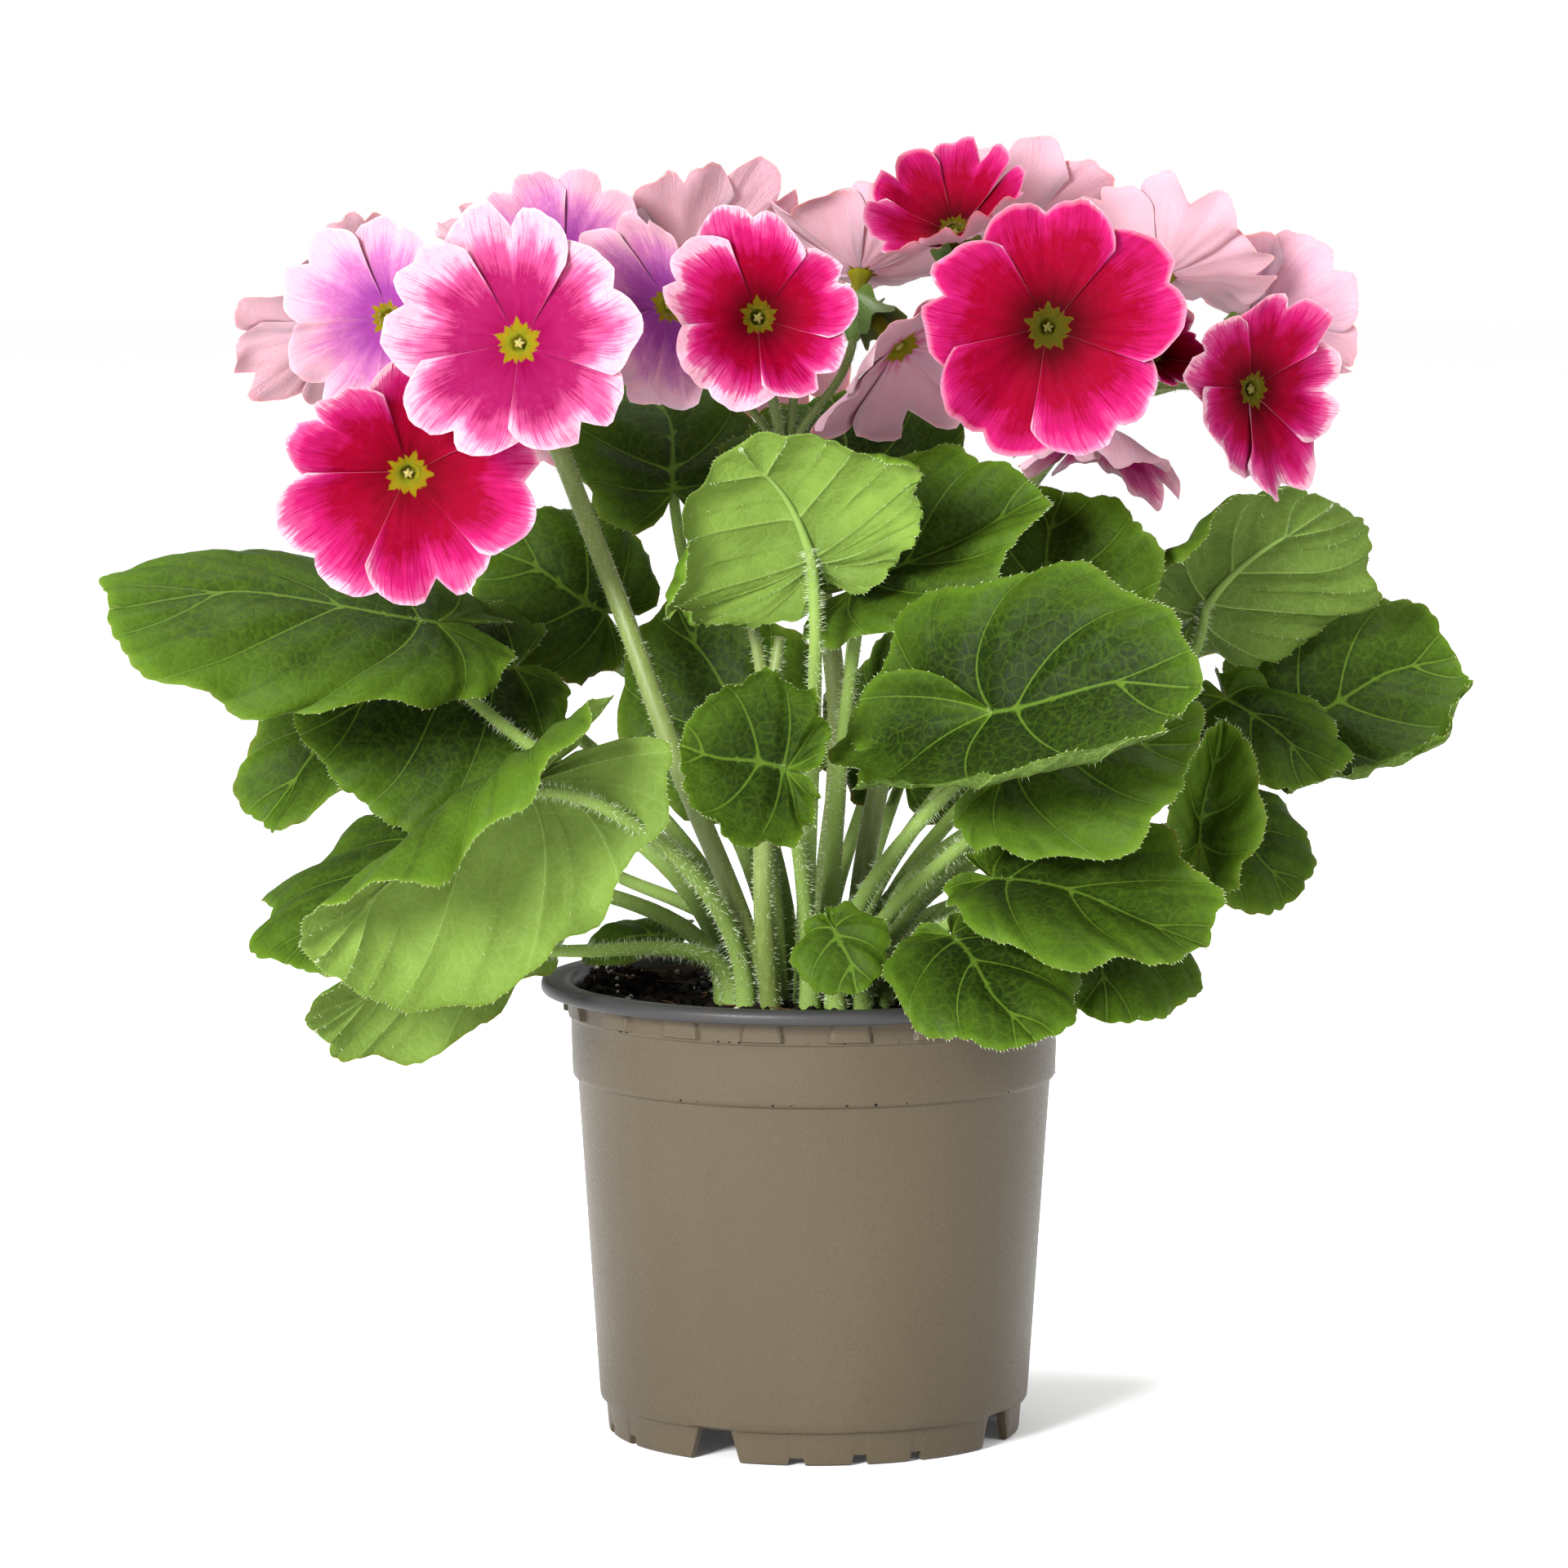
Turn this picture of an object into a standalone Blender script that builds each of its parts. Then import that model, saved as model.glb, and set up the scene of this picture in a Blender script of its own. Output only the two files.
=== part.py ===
"""A potted primrose: a tapered grower's pot, its soil, round toothed leaves and three heads of large blooms.

Sizes in the tables are millimetres in the part's own frame: the origin is the middle of the pot's underside, +Z is
up, and the side of the plant that is meant to be seen first faces -Y.
"""

import math

import bmesh
import bpy
import numpy as np

MM = 0.001

# Pot
RIM_RADIUS = 60.0
POT_HEIGHT = 100.3
RIM_ROLL = 3.0
RIM_CHAMFER = 1.5
BAND_HEIGHT = 7.5
BAND_FLARE = 1.2
UPPER_WALL_RADIUS = 53.4
LEDGE_HEIGHT = 79.2
LEDGE_RADIUS = 53.0
LEDGE_STEP = 1.0
LEDGE_SLOPE = 0.6
BASE_RADIUS = 45.3
SKIRT_HEIGHT = 6.8
SKIRT_FLARE = 0.6
SKIRT_SLOPE = 0.8
SKIRT_TOP_RADIUS = 47.1
SKIRT_WALL = 2.0
WALL = 1.3
FLOOR_UNDERSIDE = 7.6
FLOOR_HEIGHT = 9.2
FOOT_PAD_RADIUS = 12.0
POT_SEGMENTS = 36
# The first large notch in degrees from +X. The others of its quarter follow as (turn, half width at the ground, half
# width at the top, height), and a quarter repeats four times.
NOTCH_START = -118.5
FOOT_NOTCHES = ((0, 6.0, 4.0, 6.9), (23.5, 1.9, 1.5, 1.4), (41, 1.9, 1.4, 2.0), (57.5, 1.6, 1.2, 1.8))
NOTCH_REACH = 4.0
DRAIN_CIRCLE = 33.0
DRAIN_RADIUS = 4.0
DRAIN_SIDES = 6

# Soil
SOIL_HEIGHT = 94.5
SOIL_BUMP = 1.1
SOIL_HEAP = 4.0
SOIL_HEAP_PLACE = (-42.0, 8.0)
SOIL_SEGMENTS = 16
SOIL_BASE_RADIUS = 45.2
SOIL_RINGS = (51.0, 36.0, 22.0, 0.0)
STEM_DEPTH = 4.0
STEM_LEAD = 1.5
CLEARANCE = 0.3
HOLE_CLEARANCE = 0.45
HOLE_TOP = 8.0

# Leaves
BLADE_THICKNESS = 0.8
NOTCH_ANGLE = 22.0
BACK_SHARE = 0.34
MIDRIB_SPREAD = 112.0
LOBE_SHARE = 0.045
TIP_SHARE = 0.05
TIP_SPREAD = 0.3
MIDRIB_EASE = 1.3
RUFFLE_WAVES = 0.25
RUFFLE_FADE = 4.0
BLADE_ROWS = 8
SMALL_BLADE_ROWS = 6
HALF_COLUMNS = 2
PETIOLE_SIDES = 5
PETIOLE_POINTS = 5
PETIOLE_HANDLE = 0.35
PETIOLE_ARRIVAL = (0.55, 0.8)
ROOT_RADIUS = 1.9
JOIN_SHARE = 0.06
JOIN_RADIUS = 1.0
JOIN_DEPTH = 0.5
RIB_PLACES = (0.2, 0.36, 0.52)
RIB_RADII = (0.9, 0.8, 0.7)
RIB_DEPTH = 0.55

# Blooms
PETALS = 5
PETAL_THICKNESS = 0.62
EYE_SHARE = 0.15
EYE_DEPTH = 1.0
TUBE_START = 0.9
TUBE_SHARE = 0.75
TUBE_LENGTH = 8.0
TUBE_RADIUS = 1.5
TUBE_SIDES = 5
# One petal in rows from the eye to its notched end. A row is its reach as a share of the radius, and for each of its
# points the angle as a share of half the petal, the reach as a share of the row's, and the height. The left edge lies
# over the next petal and the right edge under it.
PETAL_ROWS = (
    (EYE_SHARE, ((-0.72, 1.0, 0.0), (0.72, 1.0, 0.0))),
    (0.58, ((-1.1, 1.0, -1.0), (0.0, 1.0, -0.6), (1.1, 1.0, 1.3))),
    (1.0, ((-0.98, 0.88, -1.6), (-0.52, 1.0, 0.3), (0.0, 0.9, -0.4), (0.52, 1.0, 0.6), (0.98, 0.88, 1.8))),
)
PETAL_FACES = [(0, 3, 2), (0, 1, 3), (1, 4, 3), (2, 6, 5), (2, 3, 6), (3, 7, 6), (3, 8, 7), (3, 4, 8), (4, 9, 8)]
PETAL_POINTS = 10

# Flower stalks
STALK_SIDES = 6
STALKLET_SIDES = 5
STALKLET_POINTS = 4
STALKLET_HANDLES = (0.4, 0.35)
STALKLET_TURN = 14.0
STALKLET_LEAN = 0.6
HEAD_OVERLAP = 1.5
CALYX_LENGTH = 16.0
CALYX_MOUTH = 6.2
# Radius of a stalklet at each of its points, then of the green cup at its mouth and at its floor.
STALKLET_RADII = (1.15, 1.0, 1.0, 1.2, 4.6, 2.1)
STUB_RADII = (1.5, 1.3, 1.2)


def unit(vector):
    """The vector at length one."""
    vector = np.asarray(vector, float)
    return vector / np.linalg.norm(vector)


def square_to(vector, axis):
    """The part of the vector that is square to the axis, at length one."""
    vector = np.asarray(vector, float)
    return unit(vector - axis * vector.dot(axis))


# Every leaf: where its stalk meets the blade, its tip, the way its upper side faces, its width, how far it bends
# down from stalk to tip in degrees, and for its left and right half (seen from the stalk, upper side up) the fold
# at the midrib and the further curl to the margin in degrees, upwards positive. ruffle is the wave of the margin,
# root the angle round the pot and the distance from its middle at which the stalk stands in the soil, and back the
# length of the lobes behind the stalk as a share of the length before it.
LEAVES = {
    "leaf_left_long": dict(base=(-82, -16, 180), tip=(-150, -30, 184), up=(0, -0.5, 0.87), width=54, bend=22,
                           left=(-8, -30), right=(6, -30), ruffle=1.8, root=(200, 14.5), back=0.28),
    "leaf_left_under": dict(base=(-66, 9, 168), tip=(-112, 0, 154), up=(-0.2, -0.8, 0.55), width=60, bend=25,
                            left=(-5, -15), right=(0, -15), ruffle=1.4, root=(178, 14.5), back=0.25),
    "leaf_left_hanging": dict(base=(-98, 22, 158), tip=(-122, 18, 133), up=(-0.5, -0.7, 0.5), width=30, bend=30,
                              left=(5, 10), right=(5, 20), ruffle=1.0, root=(168, 20), small=True),
    "leaf_left_folded": dict(base=(-60, -52, 149), tip=(-105, -68, 113), up=(-0.35, 0.93, 0), width=64, bend=30,
                             left=(-15, -140), right=(0, -15), ruffle=1.4, root=(222, 20), rib=True, back=0.5),
    "leaf_left_low": dict(base=(-84, -10, 134), tip=(-114, -32, 108), up=(-0.5, -0.65, 0.6), width=48, bend=20,
                          left=(0, -10), right=(0, -20), ruffle=1.6, root=(190, 20)),
    "leaf_left_rim": dict(base=(-68, -32, 115), tip=(-107, -44, 95), up=(-0.45, 0.6, 0.65), width=38, bend=20,
                          left=(0, -25), right=(-20, -30), ruffle=1.0, root=(206, 20), rib=True),
    "leaf_left_back": dict(base=(-46, 30, 178), tip=(-72, 34, 192), up=(-0.2, -0.8, 0.5), width=44, bend=20,
                           left=(0, -15), right=(0, -15), ruffle=1.4, root=(165, 8.5), small=True),
    "leaf_soil_left": dict(base=(-33, 15, 108), tip=(-51, 20, 103), up=(-0.1, -0.35, 0.9), width=24, bend=25,
                           left=(0, 10), right=(0, -10), ruffle=0.6, root=(150, 20), small=True),
    "leaf_inner_left": dict(base=(-14, 2, 146), tip=(-31, 18, 182), up=(-0.1, -0.9, 0.4), width=44, bend=15,
                            left=(0, -10), right=(0, -15), ruffle=1.2, root=(205, 8.5), small=True),
    "leaf_front_cup": dict(base=(-6, -60, 152), tip=(-28, -68, 158), up=(0.1, -0.95, 0.25), width=44, bend=10,
                           left=(15, 15), right=(20, 10), ruffle=1.0, root=(266, 14.5)),
    "leaf_front_crown": dict(base=(4, -40, 116), tip=(9, -47, 103), up=(0, -0.95, 0.3), width=21, bend=10,
                             left=(0, -10), right=(0, -10), ruffle=0.4, root=(284, 20), small=True),
    "leaf_centre_top": dict(base=(0, -38, 194), tip=(-16, -52, 220), up=(-0.1, 0.8, 0.55), width=76, bend=60,
                            left=(-10, -35), right=(-15, -45), ruffle=1.8, root=(255, 8.5), rib=True),
    "leaf_centre_back": dict(base=(10, 14, 200), tip=(4, 32, 226), up=(0, -0.8, 0.6), width=52, bend=20,
                             left=(0, 15), right=(0, 15), ruffle=1.4, root=(85, 8.5)),
    "leaf_centre_right": dict(base=(8, -28, 188), tip=(48, -32, 208), up=(-0.3, -0.7, 0.6), width=40, bend=10,
                              left=(25, 10), right=(20, -10), ruffle=1.4, root=(290, 8.5)),
    "leaf_inner_right": dict(base=(20, 28, 142), tip=(28, 34, 172), up=(0.1, -0.9, 0.4), width=42, bend=15,
                             left=(0, -10), right=(0, -15), ruffle=1.2, root=(58, 14.5), small=True),
    "leaf_right_top": dict(base=(46, -26, 178), tip=(54, -8, 207), up=(0, -0.85, 0.5), width=50, bend=15,
                           left=(5, 20), right=(5, 20), ruffle=1.6, root=(325, 8.5)),
    "leaf_right_big": dict(base=(37, -66, 165), tip=(79, -86, 172), up=(0.1, -0.87, 0.5), width=60, bend=10,
                           left=(5, 10), right=(5, 40), ruffle=2.2, root=(288, 14.5), back=0.8, notch=1.5),
    "leaf_right_mid": dict(base=(40, -48, 150), tip=(80, -62, 158), up=(0.1, -0.75, 0.65), width=46, bend=20,
                           left=(0, -15), right=(0, -15), ruffle=1.2, root=(308, 14.5)),
    "leaf_right_boat": dict(base=(38, -48, 128), tip=(82, -68, 116), up=(0.1, -0.4, 0.9), width=44, bend=20,
                            left=(10, 15), right=(0, -10), ruffle=0.8, root=(318, 20), back=0.2),
    "leaf_right_rim": dict(base=(29, -50, 116), tip=(46, -76, 97), up=(0.15, -0.8, 0.6), width=38, bend=25,
                           left=(0, -15), right=(0, -15), ruffle=0.8, root=(302, 20), back=0.22),
    "leaf_right_side": dict(base=(64, -27, 120), tip=(62, -54, 98), up=(0.3, -0.75, 0.6), width=40, bend=20,
                            left=(0, -10), right=(0, -10), ruffle=0.8, root=(334, 20), small=True),
    "leaf_right_rising": dict(base=(84, 8, 180), tip=(112, -6, 205), up=(-0.35, 0.75, 0.5), width=60, bend=25,
                              left=(0, -20), right=(0, -25), ruffle=2.2, root=(0, 8.5), rib=True),
    "leaf_right_far": dict(base=(106, 22, 154), tip=(143, 32, 168), up=(0.1, -0.85, 0.5), width=56, bend=15,
                           left=(0, 5), right=(5, 30), ruffle=2.0, root=(10, 14.5)),
    "leaf_right_quilted": dict(base=(90, -8, 163), tip=(110, -20, 146), up=(0.3, -0.6, 0.7), width=34, bend=15,
                               left=(0, -15), right=(0, -15), ruffle=1.0, root=(350, 14.5), small=True),
    "leaf_right_narrow": dict(base=(83, -28, 132), tip=(87, -38, 160), up=(0.1, -0.9, 0.2), width=32, bend=5,
                              left=(50, 20), right=(45, 20), ruffle=0.6, root=(350, 20), small=True),
    "leaf_right_low": dict(base=(88, 0, 137), tip=(106, -4, 119), up=(0.4, -0.6, 0.65), width=36, bend=15,
                           left=(0, -10), right=(0, -10), ruffle=1.2, root=(6, 20), small=True),
    "leaf_back_top": dict(base=(-31, 18, 206), tip=(-36, 40, 229), up=(0, -0.75, 0.65), width=42, bend=20,
                          left=(0, -15), right=(0, -15), ruffle=1.6, root=(125, 8.5), small=True),
    "leaf_back_left": dict(base=(-28, 56, 165), tip=(-52, 98, 160), up=(-0.1, 0.4, 0.9), width=58, bend=30,
                           left=(0, -20), right=(0, -20), ruffle=1.8, root=(118, 14.5), back=0.2),
    "leaf_back_middle": dict(base=(14, 52, 150), tip=(22, 98, 140), up=(0.1, 0.4, 0.9), width=58, bend=30,
                             left=(0, -20), right=(0, -20), ruffle=1.8, root=(82, 14.5)),
    "leaf_back_right": dict(base=(56, 42, 172), tip=(96, 74, 168), up=(0.2, 0.3, 0.9), width=56, bend=30,
                            left=(0, -20), right=(0, -20), ruffle=1.8, root=(34, 14.5)),
    "leaf_back_low_left": dict(base=(-56, 46, 130), tip=(-86, 76, 110), up=(-0.3, 0.4, 0.85), width=50, bend=30,
                               left=(0, -20), right=(0, -20), ruffle=1.4, root=(130, 20), small=True),
    "leaf_back_low_right": dict(base=(52, 48, 126), tip=(78, 78, 106), up=(0.3, 0.4, 0.85), width=48, bend=30,
                                left=(0, -20), right=(0, -20), ruffle=1.4, root=(46, 20), small=True),
}

# Every bloom: the middle of its eye, the way it faces, its radius, the cup of its petals in degrees at the eye and
# the further curl to their tips (forwards positive), and its spin about its own axis. colour is a key of
# PETAL_COLOURS.
BLOOMS = {
    "left": {
        "bloom_left_crimson": dict(colour="crimson", eye=(-86, -50, 214), facing=(-0.06, -0.95, -0.25),
                                   radius=28, cup=(6, 12), spin=20),
        "bloom_left_pink": dict(colour="pink", eye=(-62, -62, 242), facing=(-0.22, -0.97, 0.08),
                                radius=28, cup=(10, 12), spin=-5),
        "bloom_left_lilac": dict(colour="lilac", eye=(-91, -28, 246), facing=(-0.35, -0.93, 0),
                                 radius=22, cup=(8, 8), spin=10),
        "bloom_left_high": dict(colour="lilac", eye=(-54, -10, 257), facing=(-0.1, -0.95, 0.1),
                                radius=21, cup=(6, 10), spin=30),
        "bloom_left_back": dict(colour="pale", eye=(-103, 18, 244), facing=(-0.6, 0.5, 0.6),
                                radius=24, cup=(6, 12), spin=0),
        "bloom_left_top": dict(colour="pink", eye=(-64, 22, 256), facing=(-0.1, 0.45, 0.88),
                               radius=22, cup=(12, 16), spin=20),
        "bloom_left_far": dict(colour="pink", eye=(-60, 42, 232), facing=(-0.1, 0.95, 0.1),
                               radius=25, cup=(6, 12), spin=0),
    },
    "centre": {
        "bloom_centre_lilac": dict(colour="lilac", eye=(-31, -36, 249), facing=(-0.5, -0.82, -0.15),
                                   radius=22, cup=(8, 10), spin=0),
        "bloom_centre_red": dict(colour="crimson", eye=(-12, -54, 247), facing=(0.05, -0.92, 0.2),
                                 radius=25, cup=(24, 18), spin=0),
        "bloom_centre_pale": dict(colour="pale", eye=(-28, 8, 256), facing=(-0.15, 0.5, 0.85),
                                  radius=25, cup=(15, 20), spin=10),
        "bloom_centre_top": dict(colour="pale", eye=(10, 4, 254), facing=(0.1, 0.5, 0.85),
                                 radius=25, cup=(15, 20), spin=30),
        "bloom_centre_side": dict(colour="pale", eye=(18, -30, 240), facing=(0.55, -0.45, -0.6),
                                  radius=24, cup=(10, 15), spin=0),
        "bloom_centre_far": dict(colour="lilac", eye=(-14, 46, 244), facing=(0, 0.95, 0.15),
                                 radius=26, cup=(6, 12), spin=0),
    },
    "right": {
        "bloom_right_crimson": dict(colour="crimson", eye=(49, -54, 245), facing=(0.03, -0.97, 0.12),
                                    radius=27, cup=(8, 10), spin=0),
        "bloom_right_dark": dict(colour="crimson", eye=(30, -20, 264), facing=(-0.15, -0.65, 0.7),
                                 radius=22, cup=(25, 20), spin=15),
        "bloom_right_pale": dict(colour="pale", eye=(44, 18, 262), facing=(0, 0.45, 0.88),
                                 radius=24, cup=(12, 18), spin=0),
        "bloom_right_top": dict(colour="pale", eye=(76, 2, 254), facing=(0.35, 0.4, 0.85),
                                radius=23, cup=(12, 18), spin=25),
        "bloom_right_folded": dict(colour="crimson", eye=(72, -30, 238), facing=(0.35, -0.9, 0.1),
                                   radius=17, cup=(50, 25), spin=0),
        "bloom_right_edge": dict(colour="crimson", eye=(93, -34, 231), facing=(0.6, -0.8, 0),
                                 radius=23, cup=(10, 14), spin=15),
        "bloom_right_back": dict(colour="lilac", eye=(98, 22, 244), facing=(0.6, 0.5, 0.6),
                                 radius=24, cup=(8, 12), spin=0),
        "bloom_right_hanging": dict(colour="pink", eye=(62, -14, 222), facing=(-0.1, -0.35, -0.93),
                                    radius=22, cup=(20, 20), spin=0),
        "bloom_right_far": dict(colour="pink", eye=(52, 44, 240), facing=(0.1, 0.95, 0.1),
                                radius=26, cup=(6, 12), spin=0),
    },
}

# Every flower stalk: its points from the soil to the head where its stalklets part, its radius at both ends, and the
# ends of the stubs where stalklets were cut off.
STALKS = {
    "left": dict(route=[(-10, -10), (-17, -16, 118), (-30, -18, 150), (-41, -14, 180), (-51, -6, 205), (-58, 0, 222)],
                 radii=(2.6, 2.1)),
    "centre": dict(route=[(1, -1), (4, -4, 130), (5, -6, 160), (1, -4, 188), (-7, 0, 213)], radii=(2.6, 2.2)),
    "right": dict(route=[(7.8, 6), (12, 6, 130), (20, 6, 162), (36, 6, 192), (52, 4, 216)], radii=(2.6, 2.2)),
    "cut": dict(route=[(-9.5, -19), (-11, -27, 118), (-11, -33, 140), (-11, -34, 164)], radii=(2.5, 2.1),
                stubs=[(-13.5, -34.5, 181), (-7.5, -33.5, 178)]),
}

TAUPE = (0.203, 0.168, 0.118)
PEAT = (0.018, 0.012, 0.009)
LEAF_GREEN = (0.085, 0.2, 0.03)
STALK_GREEN = (0.3, 0.42, 0.12)
PETAL_COLOURS = {
    "crimson": (0.6, 0.01, 0.06),
    "pink": (0.8, 0.18, 0.4),
    "lilac": (0.75, 0.42, 0.72),
    "pale": (0.85, 0.6, 0.68),
}


def material(name, colour, roughness):
    """A plain Principled finish."""
    finish = bpy.data.materials.new(name)
    finish.use_nodes = True
    shader = finish.node_tree.nodes["Principled BSDF"]
    shader.inputs["Base Color"].default_value = (*colour, 1.0)
    shader.inputs["Roughness"].default_value = roughness
    shader.inputs["Metallic"].default_value = 0.0
    return finish


def mesh_object(name, points, faces):
    """An object from points in millimetres and faces, with double points merged."""
    mesh = bpy.data.meshes.new(name)
    mesh.from_pydata((np.asarray(points, float) * MM).tolist(), [], [list(map(int, face)) for face in faces])
    work = bmesh.new()
    work.from_mesh(mesh)
    bmesh.ops.remove_doubles(work, verts=work.verts, dist=1e-6)
    bmesh.ops.dissolve_degenerate(work, edges=work.edges, dist=1e-6)
    work.to_mesh(mesh)
    work.free()
    obj = bpy.data.objects.new(name, mesh)
    bpy.context.scene.collection.objects.link(obj)
    return obj


def baked(obj):
    """The object with its modifiers turned into its mesh."""
    graph = bpy.context.evaluated_depsgraph_get()
    mesh = bpy.data.meshes.new_from_object(obj.evaluated_get(graph))
    obj.modifiers.clear()
    old = obj.data
    obj.data = mesh
    bpy.data.meshes.remove(old)
    return obj


def triangulated(obj):
    """The object with every face split into triangles and slivers dissolved."""
    work = bmesh.new()
    work.from_mesh(obj.data)
    bmesh.ops.dissolve_degenerate(work, edges=work.edges, dist=2e-6)
    bmesh.ops.triangulate(work, faces=work.faces)
    work.to_mesh(obj.data)
    work.free()
    return obj


def combined(obj, others, operation):
    """One Boolean of the object with a collection of others, applied, with the others removed."""
    group = bpy.data.collections.new("operands")
    bpy.context.scene.collection.children.link(group)
    for other in others:
        bpy.context.scene.collection.objects.unlink(other)
        group.objects.link(other)
    cut = obj.modifiers.new(operation, "BOOLEAN")
    cut.operation = operation
    cut.operand_type = "COLLECTION"
    cut.collection = group
    cut.solver = "EXACT"
    baked(obj)
    for other in others:
        bpy.data.objects.remove(other)
    bpy.data.collections.remove(group)
    return triangulated(obj)


def thickened(obj, thickness):
    """The sheet with an even thickness in millimetres, half of it on either side."""
    thick = obj.modifiers.new("thickness", "SOLIDIFY")
    thick.thickness = thickness * MM
    thick.offset = 0
    thick.use_even_offset = True
    return baked(obj)


def finished(obj, finish, smooth_angle=40):
    """The object with its finish and smooth shading."""
    obj.data.materials.clear()
    obj.data.materials.append(finish)
    obj.data.shade_smooth()
    obj.data.set_sharp_from_angle(angle=math.radians(smooth_angle))
    return obj


def grid_faces(rows, cols, closed=False):
    """Quads of a grid of points, row by row. closed joins the last column to the first."""
    faces = []
    for row in range(rows - 1):
        for col in range(cols if closed else cols - 1):
            right = (col + 1) % cols
            faces.append((row * cols + col, row * cols + right, (row + 1) * cols + right, (row + 1) * cols + col))
    return faces


def bezier(start, handle_a, handle_b, end, count):
    """Points along a cubic curve, both ends included."""
    t = np.linspace(0, 1, count)[:, None]
    start, handle_a, handle_b, end = (np.asarray(p, float) for p in (start, handle_a, handle_b, end))
    return ((1 - t) ** 3 * start + 3 * t * (1 - t) ** 2 * handle_a + 3 * t ** 2 * (1 - t) * handle_b + t ** 3 * end)


def swept(name, route, radii, sides, end_direction=None):
    """A closed tube: a polygon carried along the route without twisting, one radius to each point. end_direction is
    the way that its last three rings face, where the tube turns back into itself."""
    route = np.asarray(route, float)
    along = np.gradient(route, axis=0)
    if end_direction is not None:
        along[-3:] = end_direction
    turn = np.linspace(0, 2 * math.pi, sides, endpoint=False)[:, None]
    side = square_to((0, 1, 0) if abs(unit(along[0])[1]) < 0.8 else (1, 0, 0), unit(along[0]))
    rings = []
    for point, direction, radius in zip(route, along, radii):
        direction = unit(direction)
        side = square_to(side, direction)
        rings.append(point + radius * (np.cos(turn) * side + np.sin(turn) * np.cross(direction, side)))
    faces = grid_faces(len(rings), sides, closed=True)
    last = (len(rings) - 1) * sides
    faces.append(tuple(reversed(range(sides))))
    faces.append(tuple(range(last, last + sides)))
    return mesh_object(name, np.concatenate(rings), faces)


def turned(name, profile, segments):
    """A closed solid of revolution. The profile is (radius, height) points, up the outside and back down the inside,
    and starts and ends on the axis."""
    turn = np.linspace(0, 2 * math.pi, segments, endpoint=False)
    rings = []
    for radius, height in profile:
        rings.append(np.stack([radius * np.cos(turn), radius * np.sin(turn), np.full(segments, height)], axis=1))
    return mesh_object(name, np.concatenate(rings), grid_faces(len(profile), segments, closed=True))


def bent(distance, total_angle, length):
    """Where a point lies after the line that it is on has been bent evenly: (forwards, upwards, angle)."""
    rate = total_angle / length if abs(total_angle) > 1e-4 else 1e-4 / length
    angle = rate * distance
    return np.sin(angle) / rate, (1 - np.cos(angle)) / rate, angle


class Blade:
    """The curved surface of one leaf. across runs from -1 at the right margin to 1 at the left, and row from 0 at the
    notch of the leaf to 1 at its tip, and a row is a chevron from the margin to the midrib and out again."""

    def __init__(self, base, tip, up, width, bend, left, right, ruffle, back=BACK_SHARE, notch=NOTCH_ANGLE):
        self.base = np.asarray(base, float)
        chord = np.asarray(tip, float) - self.base
        half = math.radians(bend) / 2
        reach = np.linalg.norm(chord)
        chord = chord / reach
        normal = square_to(up, chord)
        self.length = reach * half / math.sin(half)
        self.forward = math.cos(half) * chord + math.sin(half) * normal
        self.normal = math.cos(half) * normal - math.sin(half) * chord
        self.side = np.cross(self.normal, self.forward)
        self.bend = -2 * half
        self.half_width = width / 2
        self.halves = (left, right)
        self.ruffle = ruffle
        self.back = back
        self.first_angle = math.radians(180 - notch)

    def outline(self, angle, waves):
        """Length along the leaf and distance from the midrib of the margin, at an angle seen from the stalk: a circle
        that the stalk meets behind its middle, drawn to the leaf's width, with lobes and a blunt tip."""
        radius = (1 + self.back) * self.length / 2
        ahead = (1 - self.back) * self.length / 2
        reach = ahead * np.cos(angle) + np.sqrt(radius ** 2 - (ahead * np.sin(angle)) ** 2)
        lobes = -LOBE_SHARE * np.cos(math.pi * waves * angle / self.first_angle)
        tip = TIP_SHARE * np.exp(-(angle / TIP_SPREAD) ** 2)
        reach = reach * (1 + lobes + tip)
        return reach * np.cos(angle), reach * np.sin(angle) * self.half_width / radius

    def place(self, along, across):
        """The point on the bent and folded blade for a place on the flat one."""
        near = np.abs(across)
        fold_left, curl_left = np.radians(self.halves[0])
        fold_right, curl_right = np.radians(self.halves[1])
        fold = np.where(across > 0, fold_left, fold_right)
        curl = np.where(across > 0, curl_left, curl_right)
        rate = np.where(np.abs(curl) < 1e-3, 1e-3, curl) / self.half_width
        out = (np.sin(fold + rate * near) - np.sin(fold)) / rate
        rise = (np.cos(fold) - np.cos(fold + rate * near)) / rate
        run, lift, angle = bent(along, self.bend, self.length)
        middle = self.base + run[..., None] * self.forward + lift[..., None] * self.normal
        normal = np.cos(angle)[..., None] * self.normal - np.sin(angle)[..., None] * self.forward
        return middle + (np.sign(across) * out)[..., None] * self.side + rise[..., None] * normal, normal

    def sheet(self, rows, cols):
        """Points of the blade as a grid of rows + 1 by 2 * cols + 1."""
        row = np.linspace(0, 1, rows + 1)[:, None]
        across = np.linspace(-1, 1, 2 * cols + 1)[None, :]
        angle = self.first_angle * (1 - row)
        out_along, out_across = self.outline(angle, rows)
        reach = np.clip(1 - np.degrees(angle) / MIDRIB_SPREAD, 0, 1) ** MIDRIB_EASE
        foot = self.length * (1 - LOBE_SHARE + TIP_SHARE) * reach
        along = foot + np.abs(across) * (out_along - foot)
        sideways = across * out_across
        points, normal = self.place(along, sideways)
        wave = np.sin(2 * math.pi * RUFFLE_WAVES * rows * (1 - row) + np.sign(across)) * across ** 2
        fade = np.clip(RUFFLE_FADE * row, 0, 1) * np.clip(RUFFLE_FADE * (1 - row), 0, 1)
        return points + (self.ruffle * wave * fade)[..., None] * normal


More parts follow.
